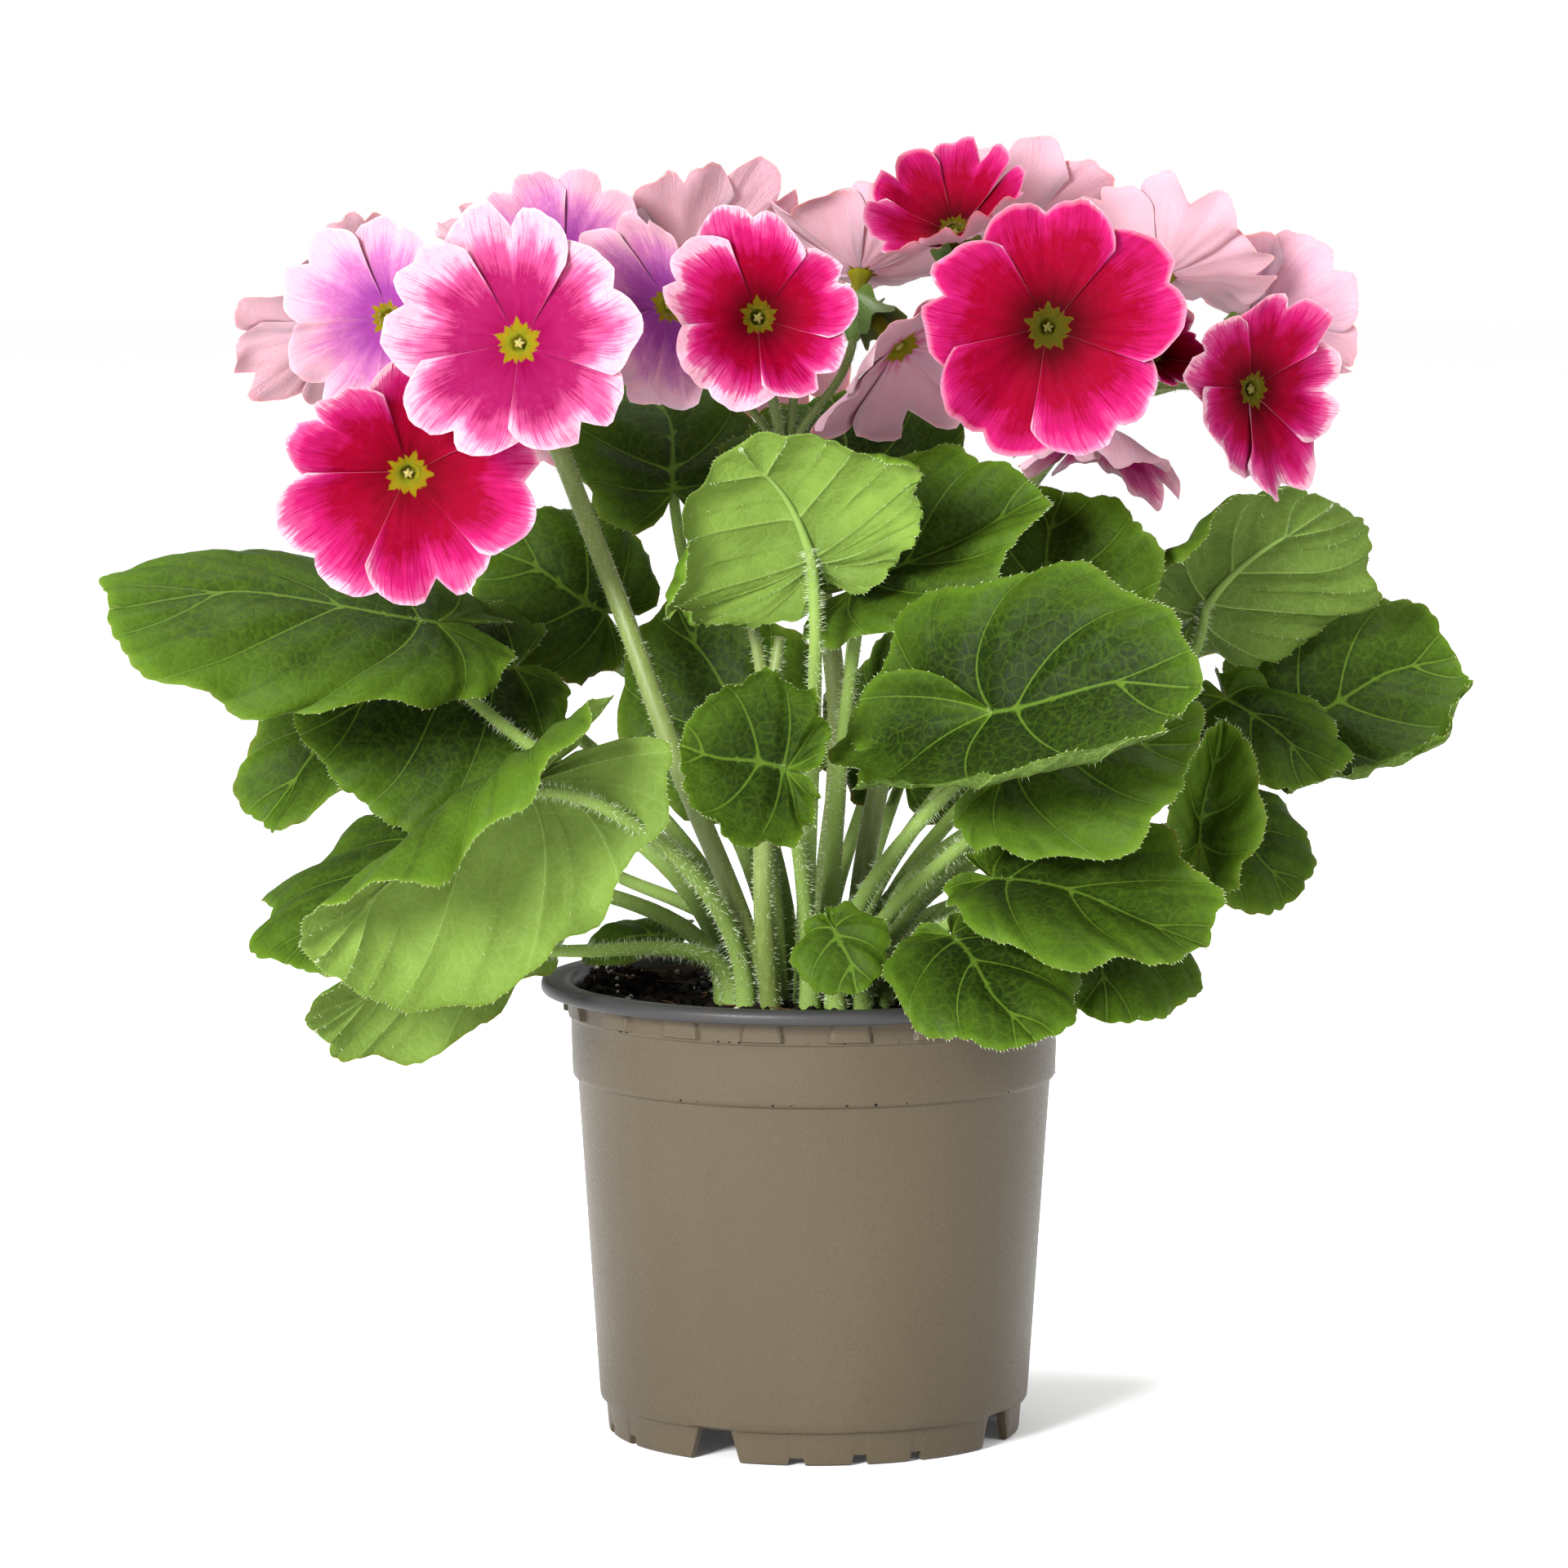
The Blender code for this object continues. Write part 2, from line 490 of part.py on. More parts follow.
def leaf_root(spec):
    """Where the stalk of a leaf stands in the soil."""
    angle, distance = spec["root"]
    return distance * math.cos(math.radians(angle)), distance * math.sin(math.radians(angle))


def petiole_route(blade, root, ribbed):
    """Points and radii of a leaf's stalk, from the soil up to the blade and, for a ribbed leaf, on along the
    underside of its midrib."""
    start = np.array([*root, SOIL_HEIGHT - STEM_DEPTH])
    lead = np.array([*root, SOIL_HEIGHT + STEM_LEAD])
    places = np.array([JOIN_SHARE, *(RIB_PLACES if ribbed else ())])
    middle, normal = blade.place(places * blade.length, np.zeros(len(places)))
    end = middle[0] - JOIN_DEPTH * normal[0]
    rib = middle[1:] - RIB_DEPTH * normal[1:]
    handle = PETIOLE_HANDLE * np.linalg.norm(end - lead)
    arrive = -unit(PETIOLE_ARRIVAL[0] * blade.forward + PETIOLE_ARRIVAL[1] * blade.normal)
    curve = bezier(lead, lead + np.array([0, 0, handle]), end + handle * arrive, end, PETIOLE_POINTS)
    radii = [ROOT_RADIUS, *np.linspace(ROOT_RADIUS, JOIN_RADIUS, PETIOLE_POINTS), *RIB_RADII[:len(rib)]]
    return np.array([start, *curve, *rib]), radii


def leaf(name, spec, finish):
    """One leaf: a waved blade of even thickness, joined to its stalk."""
    blade = Blade(**{key: value for key, value in spec.items() if key not in ("root", "small", "rib")})
    rows = SMALL_BLADE_ROWS if "small" in spec else BLADE_ROWS
    points = blade.sheet(rows, HALF_COLUMNS)
    obj = mesh_object(name, points.reshape(-1, 3), grid_faces(rows + 1, 2 * HALF_COLUMNS + 1))
    thickened(triangulated(obj), BLADE_THICKNESS)
    route, radii = petiole_route(blade, leaf_root(spec), "rib" in spec)
    combined(obj, [swept(name + "_stalk", route, radii, PETIOLE_SIDES)], "UNION")
    return finished(obj, finish)


def bloom_axes(spec):
    """The way a bloom faces, and two directions square to it, turned by its spin."""
    facing = unit(spec["facing"])
    up = square_to((0, 0, 1) if abs(facing[2]) < 0.9 else (0, 1, 0), facing)
    across = np.cross(up, facing)
    spin = math.radians(spec["spin"])
    return facing, math.cos(spin) * up + math.sin(spin) * across, math.cos(spin) * across - math.sin(spin) * up


def petal_points(radius, cup):
    """Points of one petal before it is turned to its place, as (distance out, angle, height)."""
    half = math.pi / PETALS
    first, further = np.radians(cup)
    places = []
    for share, row in PETAL_ROWS:
        for angle, reach, height in row:
            run, rise, _ = bent(radius * share * reach, further, radius)
            out = math.cos(first) * run - math.sin(first) * rise
            up = math.sin(first) * run + math.cos(first) * rise
            places.append((out, angle * half, up + height))
    return places


def bloom(name, spec, finish):
    """One bloom: five notched petals round an eye, laid over each other like the blades of a fan, on a short tube."""
    facing, up, across = bloom_axes(spec)
    centre = np.asarray(spec["eye"], float)
    petal = petal_points(spec["radius"], spec["cup"])
    middle = PETAL_POINTS * PETALS
    points = []
    faces = []
    for i in range(PETALS):
        turn = 2 * math.pi * i / PETALS
        for out, angle, height in petal:
            direction = math.cos(turn + angle) * up + math.sin(turn + angle) * across
            points.append(centre + out * direction + height * facing)
        first = PETAL_POINTS * i
        after = PETAL_POINTS * ((i + 1) % PETALS)
        faces.extend(tuple(first + corner for corner in face) for face in PETAL_FACES)
        faces.extend([(first + 1, first, middle), (after, first + 1, middle)])
    points.append(centre - EYE_DEPTH * facing)
    obj = mesh_object(name, points, faces)
    thickened(obj, PETAL_THICKNESS)
    radii = [TUBE_SHARE * EYE_SHARE * spec["radius"], TUBE_RADIUS]
    route = [centre - TUBE_START * facing, centre - TUBE_LENGTH * facing]
    combined(obj, [swept(name + "_tube", route, radii, TUBE_SIDES)], "UNION")
    return finished(obj, finish)


def stalklet(name, head, spec):
    """From the head of a stalk to the back of a bloom, opening into the green cup that the bloom's tube stands in."""
    facing = unit(spec["facing"])
    eye = np.asarray(spec["eye"], float)
    foot = eye - CALYX_LENGTH * facing
    reach = np.linalg.norm(foot - head)
    rise = unit(np.array([0, 0, 1.0]) + STALKLET_LEAN * unit(foot - head))
    leave = STALKLET_HANDLES[0] * reach
    arrive = max(STALKLET_HANDLES[1] * reach, STALKLET_TURN)
    curve = bezier(head, head + leave * rise, foot - arrive * facing, foot, STALKLET_POINTS)
    cup = [eye - back * facing for back in (CALYX_MOUTH, TUBE_LENGTH + CLEARANCE)]
    return swept(name, [*curve, *cup], STALKLET_RADII, STALKLET_SIDES, facing)


def flower_stalk(name, spec, blooms, finish):
    """One flower stalk with its stalklets, green cups and stubs, joined."""
    root = spec["route"][0]
    below = (*root, SOIL_HEIGHT - STEM_DEPTH)
    route = np.array([(*root, SOIL_HEIGHT + STEM_LEAD), *spec["route"][1:]])
    radii = np.linspace(*spec["radii"], len(route))
    main_stalk = swept(name, [below, *route], [radii[0], *radii], STALK_SIDES)
    head = route[-1] - HEAD_OVERLAP * unit(route[-1] - route[-2])
    parts = []
    for i, bloom_spec in enumerate(blooms.values()):
        parts.append(stalklet(f"{name}_stalklet_{i}", head, bloom_spec))
    for i, end in enumerate(spec.get("stubs", ())):
        end = np.asarray(end, float)
        parts.append(swept(f"{name}_stub_{i}", [head, (head + end) / 2, end], STUB_RADII, STALKLET_SIDES))
    combined(main_stalk, parts, "UNION")
    return finished(main_stalk, finish)


def pot(finish):
    """The pot: a turned wall with its rim, band, ledge and skirt, a raised floor on a foot pad, and notches in the
    foot."""
    band_top = POT_HEIGHT - RIM_ROLL
    profile = [
        (0, 0), (FOOT_PAD_RADIUS, 0), (FOOT_PAD_RADIUS + 1, FLOOR_UNDERSIDE),
        (BASE_RADIUS + SKIRT_FLARE - SKIRT_WALL, FLOOR_UNDERSIDE), (BASE_RADIUS - SKIRT_WALL, 0),
        (BASE_RADIUS, 0), (BASE_RADIUS + SKIRT_FLARE, SKIRT_HEIGHT), (SKIRT_TOP_RADIUS, SKIRT_HEIGHT + SKIRT_SLOPE),
        (LEDGE_RADIUS - LEDGE_STEP, LEDGE_HEIGHT - LEDGE_SLOPE), (LEDGE_RADIUS, LEDGE_HEIGHT),
        (UPPER_WALL_RADIUS, band_top - BAND_HEIGHT), (UPPER_WALL_RADIUS + BAND_FLARE, band_top),
        (RIM_RADIUS, band_top), (RIM_RADIUS, POT_HEIGHT - 1.0), (RIM_RADIUS - RIM_CHAMFER, POT_HEIGHT),
        (UPPER_WALL_RADIUS + 1.0, POT_HEIGHT), (UPPER_WALL_RADIUS - WALL, POT_HEIGHT - 2.0),
        (SKIRT_TOP_RADIUS - WALL, FLOOR_HEIGHT), (0, FLOOR_HEIGHT),
    ]
    body = triangulated(turned("pot", profile, POT_SEGMENTS))
    return finished(combined(body, foot_notches() + drain_holes(), "DIFFERENCE"), finish, 30)


def prism(name, corners, along, start, end):
    """A closed prism: the corners, as (sideways, height), carried level from start to end in the direction along."""
    along = np.array([math.cos(along), math.sin(along), 0])
    sideways = np.array([-along[1], along[0], 0])
    points = [place * along + x * sideways + np.array([0, 0, z]) for place in (start, end) for x, z in corners]
    count = len(corners)
    faces = [(i, (i + 1) % count, count + (i + 1) % count, count + i) for i in range(count)]
    faces += [tuple(reversed(range(count))), tuple(range(count, 2 * count))]
    return mesh_object(name, points, faces)


def foot_notches():
    """Cutters for the drain notches in the foot: one large and three small in each quarter."""
    cutters = []
    for quarter in range(4):
        for turn, half_width, half_top, height in FOOT_NOTCHES:
            corners = [(-half_width, -1), (half_width, -1), (half_top, height), (-half_top, height)]
            angle = math.radians(NOTCH_START + 90 * quarter + turn)
            name = f"notch_{quarter}_{turn:.0f}"
            cutters.append(prism(name, corners, angle, BASE_RADIUS - NOTCH_REACH, BASE_RADIUS + NOTCH_REACH))
    return cutters


def drain_holes():
    """Cutters for the drain holes through the floor, one behind each large notch."""
    holes = []
    for quarter in range(4):
        angle = math.radians(NOTCH_START + 90 * quarter)
        x, y = DRAIN_CIRCLE * math.cos(angle), DRAIN_CIRCLE * math.sin(angle)
        span = [(x, y, FLOOR_UNDERSIDE - 1), (x, y, FLOOR_HEIGHT + 1)]
        holes.append(swept(f"drain_{quarter}", span, [DRAIN_RADIUS] * 2, DRAIN_SIDES))
    return holes


def soil_height(x, y):
    """The top of the soil: low waves, and a heap by the rim on the left."""
    waves = np.sin(0.23 * x + 1.1) * np.cos(0.19 * y - 0.4) + 0.6 * np.sin(0.41 * x - 0.33 * y)
    heap = SOIL_HEAP * np.exp(-((x - SOIL_HEAP_PLACE[0]) ** 2 + (y - SOIL_HEAP_PLACE[1]) ** 2) / 120)
    return SOIL_HEIGHT + SOIL_BUMP * waves + heap


def soil(roots, finish):
    """The soil: fills the pot, with a plain hole for every stem."""
    turn = np.linspace(0, 2 * math.pi, SOIL_SEGMENTS, endpoint=False)
    points = []
    for radius in (0, SOIL_BASE_RADIUS):
        level = np.full(SOIL_SEGMENTS, FLOOR_HEIGHT + CLEARANCE)
        points.append(np.stack([radius * np.cos(turn), radius * np.sin(turn), level], axis=1))
    for radius in SOIL_RINGS:
        x, y = radius * np.cos(turn), radius * np.sin(turn)
        points.append(np.stack([x, y, soil_height(x, y)], axis=1))
    obj = mesh_object("soil", np.concatenate(points), grid_faces(len(points), SOIL_SEGMENTS, closed=True))
    triangulated(obj)
    holes = []
    for i, (x, y, radius, sides) in enumerate(roots):
        span = [(x, y, SOIL_HEIGHT - STEM_DEPTH - CLEARANCE), (x, y, SOIL_HEIGHT + HOLE_TOP)]
        holes.append(swept(f"hole_{i}", span, [radius + HOLE_CLEARANCE] * 2, sides))
    combined(obj, holes, "DIFFERENCE")
    return finished(obj, finish)


def main():
    for obj in list(bpy.data.objects):
        bpy.data.objects.remove(obj)
    pot(material("pot_plastic", TAUPE, 0.45))
    roots = [(*spec["route"][0], spec["radii"][0], STALK_SIDES) for spec in STALKS.values()]
    roots += [(*leaf_root(spec), ROOT_RADIUS, PETIOLE_SIDES) for spec in LEAVES.values()]
    soil(roots, material("peat", PEAT, 0.95))
    for name, spec in LEAVES.items():
        leaf(name, spec, material(name, LEAF_GREEN, 0.55))
    for side, spec in STALKS.items():
        blooms = BLOOMS.get(side, {})
        flower_stalk("stalk_" + side, spec, blooms, material("stalk_" + side, STALK_GREEN, 0.6))
        for name, bloom_spec in blooms.items():
            bloom(name, bloom_spec, material(name, PETAL_COLOURS[bloom_spec["colour"]], 0.5))


main()
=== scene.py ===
"""A potted primrose in bloom, dressed for rendering.

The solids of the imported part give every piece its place. Each leaf, bloom and flower stalk, the soil and the pot
are made again here as fine surfaces of the same form, with veins, toothed margins, hairs and procedural finishes.
Sizes in the tables and in the surface functions are millimetres in the part's frame: +Z is up, the origin is the
middle of the pot's underside, and -Y faces the viewer.
"""

import math

import bmesh
import bpy
import numpy as np
from bpy.props import FloatProperty, FloatVectorProperty, PointerProperty
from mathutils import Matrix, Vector


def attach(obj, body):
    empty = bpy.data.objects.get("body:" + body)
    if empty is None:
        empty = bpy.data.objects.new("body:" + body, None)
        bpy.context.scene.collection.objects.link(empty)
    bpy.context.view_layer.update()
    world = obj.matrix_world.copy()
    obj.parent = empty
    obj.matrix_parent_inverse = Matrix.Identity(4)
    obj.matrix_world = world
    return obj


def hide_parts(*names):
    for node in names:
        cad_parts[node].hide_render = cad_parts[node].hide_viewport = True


bl_info = {
    "name": "Potted Primrose",
    "version": (1, 0, 0),
    "blender": (4, 5, 0),
    "location": "3D View > Sidebar > Primrose",
    "description": "Dresses the packed primrose with fine leaves, blooms, stalks, soil and pot",
    "category": "Add Mesh",
}

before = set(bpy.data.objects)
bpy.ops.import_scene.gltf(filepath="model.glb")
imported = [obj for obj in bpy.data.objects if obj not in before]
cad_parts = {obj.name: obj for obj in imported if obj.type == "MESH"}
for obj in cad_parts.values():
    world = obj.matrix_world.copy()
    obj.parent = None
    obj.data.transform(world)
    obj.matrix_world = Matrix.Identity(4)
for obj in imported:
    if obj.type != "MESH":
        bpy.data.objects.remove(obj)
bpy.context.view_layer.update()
MM = 0.001

# Every leaf: where its stalk meets the blade, its tip, the way its upper side faces, its width, how far it bends
# down from stalk to tip in degrees, and for its left and right half (seen from the stalk, upper side up) the fold
# at the midrib and the further curl to the margin in degrees, upwards positive. ruffle is the wave of the margin, and
# root the angle round the pot and the distance from its middle at which the stalk stands in the soil.
LEAF_KEYS = ("name", "base", "tip", "up", "width", "bend", "left", "right", "ruffle", "root")
# What a leaf has where its row says nothing else: its number of margin waves, the length of the lobes behind the
# stalk as a share of the length before it, half the angle of the notch between them in degrees (the lobes pass each
# other where it is under zero), how far the left lobe then lies above the right one, its tone (0 dark, 1 light), and
# for the left and right half how far the margin stands up and by how many degrees it is rolled over, both positive
# upwards.
USUAL_LEAF = dict(waves=10, back=0.34, notch=22.0, lap=0.0, tone=0.35, rims=(-1.2, -1.2), rolls=(-25, -25))
LEAVES = (
    ("left_long", (-82, -16, 180), (-150, -30, 184), (0, -0.5, 0.87), 54, 22, (-8, -30), (6, -30), 1.8, (200, 14.5),
     dict(back=0.28, notch=10.0, tone=0.5, rims=(-2.0, -1.5), rolls=(-45, -55))),
    ("left_under", (-66, 9, 168), (-112, 0, 154), (-0.2, -0.8, 0.55), 60, 25, (-5, -15), (0, -15), 1.4, (178, 14.5),
     dict(back=0.25, tone=0.15, rolls=(-40, -30))),
    ("left_hanging", (-98, 22, 158), (-122, 18, 133), (-0.5, -0.7, 0.5), 30, 30, (5, 10), (5, 20), 1.0, (168, 20),
     dict(waves=8, tone=0.2, rims=(2.0, 2.0))),
    ("left_folded", (-60, -52, 149), (-105, -68, 113), (-0.35, 0.93, 0), 64, 30, (-15, -140), (0, -15), 1.4,
     (222, 20), dict(back=0.5, notch=8.0, tone=0.9, rims=(0.0, -1.0), rolls=(0, -45))),
    ("left_low", (-84, -10, 134), (-114, -32, 108), (-0.5, -0.65, 0.6), 48, 20, (0, -10), (0, -20), 1.6, (190, 20),
     dict(tone=0.45)),
    ("left_rim", (-68, -32, 115), (-107, -44, 95), (-0.45, 0.6, 0.65), 38, 20, (0, -25), (-20, -30), 1.0, (206, 20),
     dict(tone=0.8)),
    ("left_back", (-46, 30, 178), (-72, 34, 192), (-0.2, -0.8, 0.5), 44, 20, (0, -15), (0, -15), 1.4, (165, 8.5),
     dict(waves=8)),
    ("soil_left", (-33, 15, 108), (-51, 20, 103), (-0.1, -0.35, 0.9), 24, 25, (0, 10), (0, -10), 0.6, (150, 20),
     dict(waves=8)),
    ("inner_left", (-14, 2, 146), (-31, 18, 182), (-0.1, -0.9, 0.4), 44, 15, (0, -10), (0, -15), 1.2, (205, 8.5),
     dict(waves=8, tone=0.15)),
    ("front_cup", (-6, -60, 152), (-28, -68, 158), (0.1, -0.95, 0.25), 44, 10, (15, 15), (20, 10), 1.0, (266, 14.5),
     dict(notch=6.0, tone=0.18, rims=(2.5, 2.0), rolls=(25, 30))),
    ("front_crown", (4, -40, 116), (9, -47, 103), (0, -0.95, 0.3), 21, 10, (0, -10), (0, -10), 0.4, (284, 20),
     dict(waves=8, notch=-24.0, lap=0.8, tone=0.4)),
    ("centre_top", (0, -38, 194), (-16, -52, 220), (-0.1, 0.8, 0.55), 76, 60, (-10, -35), (-15, -45), 1.8, (255, 8.5),
     dict(notch=8.0, tone=1.0, rims=(-1.5, -3.0), rolls=(-35, -50))),
    ("centre_back", (10, 14, 200), (4, 32, 226), (0, -0.8, 0.6), 52, 20, (0, 15), (0, 15), 1.4, (85, 8.5),
     dict(tone=0.1)),
    ("centre_right", (8, -28, 188), (48, -32, 208), (-0.3, -0.7, 0.6), 40, 10, (25, 10), (20, -10), 1.4, (290, 8.5),
     {}),
    ("inner_right", (20, 28, 142), (28, 34, 172), (0.1, -0.9, 0.4), 42, 15, (0, -10), (0, -15), 1.2, (58, 14.5),
     dict(waves=8, tone=0.15)),
    ("right_top", (46, -26, 178), (54, -8, 207), (0, -0.85, 0.5), 50, 15, (5, 20), (5, 20), 1.6, (325, 8.5), {}),
    ("right_big", (37, -66, 165), (79, -86, 172), (0.1, -0.87, 0.5), 60, 10, (5, 10), (5, 40), 2.2, (288, 14.5),
     dict(back=0.8, notch=-58.0, lap=-2.6, tone=0.07, rims=(0.0, 2.0), rolls=(-15, 170))),
    ("right_mid", (40, -48, 150), (80, -62, 158), (0.1, -0.75, 0.65), 46, 20, (0, -15), (0, -15), 1.2, (308, 14.5),
     dict(tone=0.5)),
    ("right_boat", (38, -48, 128), (82, -68, 116), (0.1, -0.4, 0.9), 44, 20, (10, 15), (0, -10), 0.8, (318, 20),
     dict(back=0.2, tone=0.3, rims=(2.0, -1.0), rolls=(20, -40))),
    ("right_rim", (29, -50, 116), (46, -76, 97), (0.15, -0.8, 0.6), 38, 25, (0, -15), (0, -15), 0.8, (302, 20),
     dict(back=0.22, tone=0.08)),
    ("right_side", (64, -27, 120), (62, -54, 98), (0.3, -0.75, 0.6), 40, 20, (0, -10), (0, -10), 0.8, (334, 20),
     dict(waves=8)),
    ("right_rising", (84, 8, 180), (112, -6, 205), (-0.35, 0.75, 0.5), 60, 25, (0, -20), (0, -25), 2.2, (0, 8.5),
     dict(tone=0.5, rims=(1.5, -2.0), rolls=(40, -60))),
    ("right_far", (106, 22, 154), (143, 32, 168), (0.1, -0.85, 0.5), 56, 15, (0, 5), (5, 30), 2.0, (10, 14.5),
     dict(tone=0.35, rims=(0.0, 3.0), rolls=(0, 150))),
    ("right_quilted", (90, -8, 163), (110, -20, 146), (0.3, -0.6, 0.7), 34, 15, (0, -15), (0, -15), 1.0, (350, 14.5),
     dict(waves=8, tone=0.2)),
    ("right_narrow", (83, -28, 132), (87, -38, 160), (0.1, -0.9, 0.2), 32, 5, (50, 20), (45, 20), 0.6, (350, 20),
     dict(waves=8, tone=0.6)),
    ("right_low", (88, 0, 137), (106, -4, 119), (0.4, -0.6, 0.65), 36, 15, (0, -10), (0, -10), 1.2, (6, 20),
     dict(waves=8)),
    ("back_top", (-31, 18, 206), (-36, 40, 229), (0, -0.75, 0.65), 42, 20, (0, -15), (0, -15), 1.6, (125, 8.5),
     dict(waves=8)),
    ("back_left", (-28, 56, 165), (-52, 98, 160), (-0.1, 0.4, 0.9), 58, 30, (0, -20), (0, -20), 1.8, (118, 14.5),
     dict(back=0.2)),
    ("back_middle", (14, 52, 150), (22, 98, 140), (0.1, 0.4, 0.9), 58, 30, (0, -20), (0, -20), 1.8, (82, 14.5), {}),
    ("back_right", (56, 42, 172), (96, 74, 168), (0.2, 0.3, 0.9), 56, 30, (0, -20), (0, -20), 1.8, (34, 14.5), {}),
    ("back_low_left", (-56, 46, 130), (-86, 76, 110), (-0.3, 0.4, 0.85), 50, 30, (0, -20), (0, -20), 1.4, (130, 20),
     dict(waves=8)),
    ("back_low_right", (52, 48, 126), (78, 78, 106), (0.3, 0.4, 0.85), 48, 30, (0, -20), (0, -20), 1.4, (46, 20),
     dict(waves=8)),
)
# Leaves that the viewer hardly sees, made with a wider grid and fewer hairs.
FAR_LEAVES = ("back", "inner", "left_back", "right_top", "centre_back")

# Every bloom: its colour, the middle of its eye, the way it faces, its radius, the cup of its petals in degrees at
# the eye and the further curl to their tips (forwards positive), its spin about its own axis, how much fuller it is
# than its solid, how much nearer to the eye its pale margin begins as a share of the petal, and how much painted
# shade darkens its heart and throat.
BLOOM_KEYS = ("name", "colour", "eye", "facing", "radius", "cup", "spin", "fuller", "fade", "deep")
BLOOMS = (
    ("left_crimson", "crimson", (-86, -50, 214), (-0.06, -0.95, -0.25), 28, (6, 12), 20, 1.0, 0.03, 0.12),
    ("left_pink", "pink", (-62, -62, 242), (-0.22, -0.97, 0.08), 28, (10, 12), -5, 1.0, -0.04, 0.0),
    ("left_lilac", "lilac", (-91, -28, 246), (-0.35, -0.93, 0), 22, (8, 8), 10, 1.06, 0.05, 0.0),
    ("left_high", "lilac", (-54, -10, 257), (-0.1, -0.95, 0.1), 21, (6, 10), 30, 1.06, 0.0, 0.0),
    ("left_back", "pale", (-103, 18, 244), (-0.6, 0.5, 0.6), 24, (6, 12), 0, 1.12, 0.0, 0.0),
    ("left_top", "pink", (-64, 22, 256), (-0.1, 0.45, 0.88), 22, (12, 16), 20, 1.0, 0.0, 0.0),
    ("left_far", "pink", (-60, 42, 232), (-0.1, 0.95, 0.1), 25, (6, 12), 0, 1.0, 0.0, 0.0),
    ("centre_lilac", "lilac", (-31, -36, 249), (-0.5, -0.82, -0.15), 22, (8, 10), 0, 1.06, 0.1, 0.0),
    ("centre_red", "crimson", (-12, -54, 247), (0.05, -0.92, 0.2), 25, (24, 18), 0, 1.0, 0.08, 0.8),
    ("centre_pale", "pale", (-28, 8, 256), (-0.15, 0.5, 0.85), 25, (15, 20), 10, 1.12, 0.0, 0.0),
    ("centre_top", "pale", (10, 4, 254), (0.1, 0.5, 0.85), 25, (15, 20), 30, 1.12, 0.0, 0.0),
    ("centre_side", "pale", (18, -30, 240), (0.55, -0.45, -0.6), 24, (10, 15), 0, 1.12, 0.0, 0.0),
    ("centre_far", "lilac", (-14, 46, 244), (0, 0.95, 0.15), 26, (6, 12), 0, 1.06, 0.0, 0.0),
    ("right_crimson", "crimson", (49, -54, 245), (0.03, -0.97, 0.12), 27, (8, 10), 0, 1.08, -0.13, 1.0),
    ("right_dark", "crimson", (30, -20, 264), (-0.15, -0.65, 0.7), 22, (25, 20), 15, 1.0, -0.15, 0.9),
    ("right_pale", "pale", (44, 18, 262), (0, 0.45, 0.88), 24, (12, 18), 0, 1.12, 0.0, 0.0),
    ("right_top", "pale", (76, 2, 254), (0.35, 0.4, 0.85), 23, (12, 18), 25, 1.12, 0.0, 0.0),
    ("right_folded", "crimson", (72, -30, 238), (0.35, -0.9, 0.1), 17, (50, 25), 0, 1.08, -0.05, 0.9),
    ("right_edge", "crimson", (93, -34, 231), (0.6, -0.8, 0), 23, (10, 14), 15, 1.03, 0.0, 0.9),
    ("right_back", "lilac", (98, 22, 244), (0.6, 0.5, 0.6), 24, (8, 12), 0, 1.06, 0.0, 0.0),
    ("right_hanging", "pink", (62, -14, 222), (-0.1, -0.35, -0.93), 22, (20, 20), 0, 1.0, 0.0, 0.0),
    ("right_far", "pink", (52, 44, 240), (0.1, 0.95, 0.1), 26, (6, 12), 0, 1.0, 0.0, 0.0),
)

# Every flower stalk: its points from the soil to the head where its stalklets part, its radius at both ends, and the
# ends of the stubs where stalklets were cut off.
STALKS = {
    "left": dict(route=[(-10, -10), (-17, -16, 118), (-30, -18, 150), (-41, -14, 180), (-51, -6, 205), (-58, 0, 222)],
                 radii=(2.6, 2.1)),
    "centre": dict(route=[(1, -1), (4, -4, 130), (5, -6, 160), (1, -4, 188), (-7, 0, 213)], radii=(2.6, 2.2)),
    "right": dict(route=[(7.8, 6), (12, 6, 130), (20, 6, 162), (36, 6, 192), (52, 4, 216)], radii=(2.6, 2.2)),
    "cut": dict(route=[(-9.5, -19), (-11, -27, 118), (-11, -33, 140), (-11, -34, 164)], radii=(2.5, 2.1),
                stubs=[(-13.5, -34.5, 181), (-7.5, -33.5, 178)]),
}

# Petals of a bloom, and sides of the rings of its eye.
PETALS = 5
EYE_SIDES = 20
# The petal's half width as a share of a fifth of the flower, against the distance out as a share of the radius.
PETAL_SPREAD = ((0.0, 0.15, 0.35, 0.58, 0.75, 0.88, 1.0), (1.25, 1.22, 1.18, 1.18, 1.18, 1.12, 1.0))
# Turned profiles as height before the eye of the bloom, and radius: the green cup behind it, up its outside and down
# inside, its throat in the same order, and the knob of its anthers.
CALYX_PROFILE = ((-16.4, 0.0), (-16.2, 1.1), (-15.0, 1.7), (-13.4, 2.4), (-11.6, 3.0), (-9.8, 3.6), (-8.2, 4.3),
                 (-6.9, 5.0), (-6.1, 5.5), (-6.5, 5.2), (-7.6, 4.3), (-9.2, 3.3), (-10.6, 2.0), (-10.8, 0.0))
THROAT_PROFILE = ((-8.4, 0.0), (-8.3, 1.45), (-4.0, 1.5), (-1.8, 1.7), (-0.3, 2.5), (0.2, 2.75), (0.45, 2.5),
                  (0.25, 2.0), (-0.4, 1.65), (-1.3, 1.3), (-1.6, 0.0))
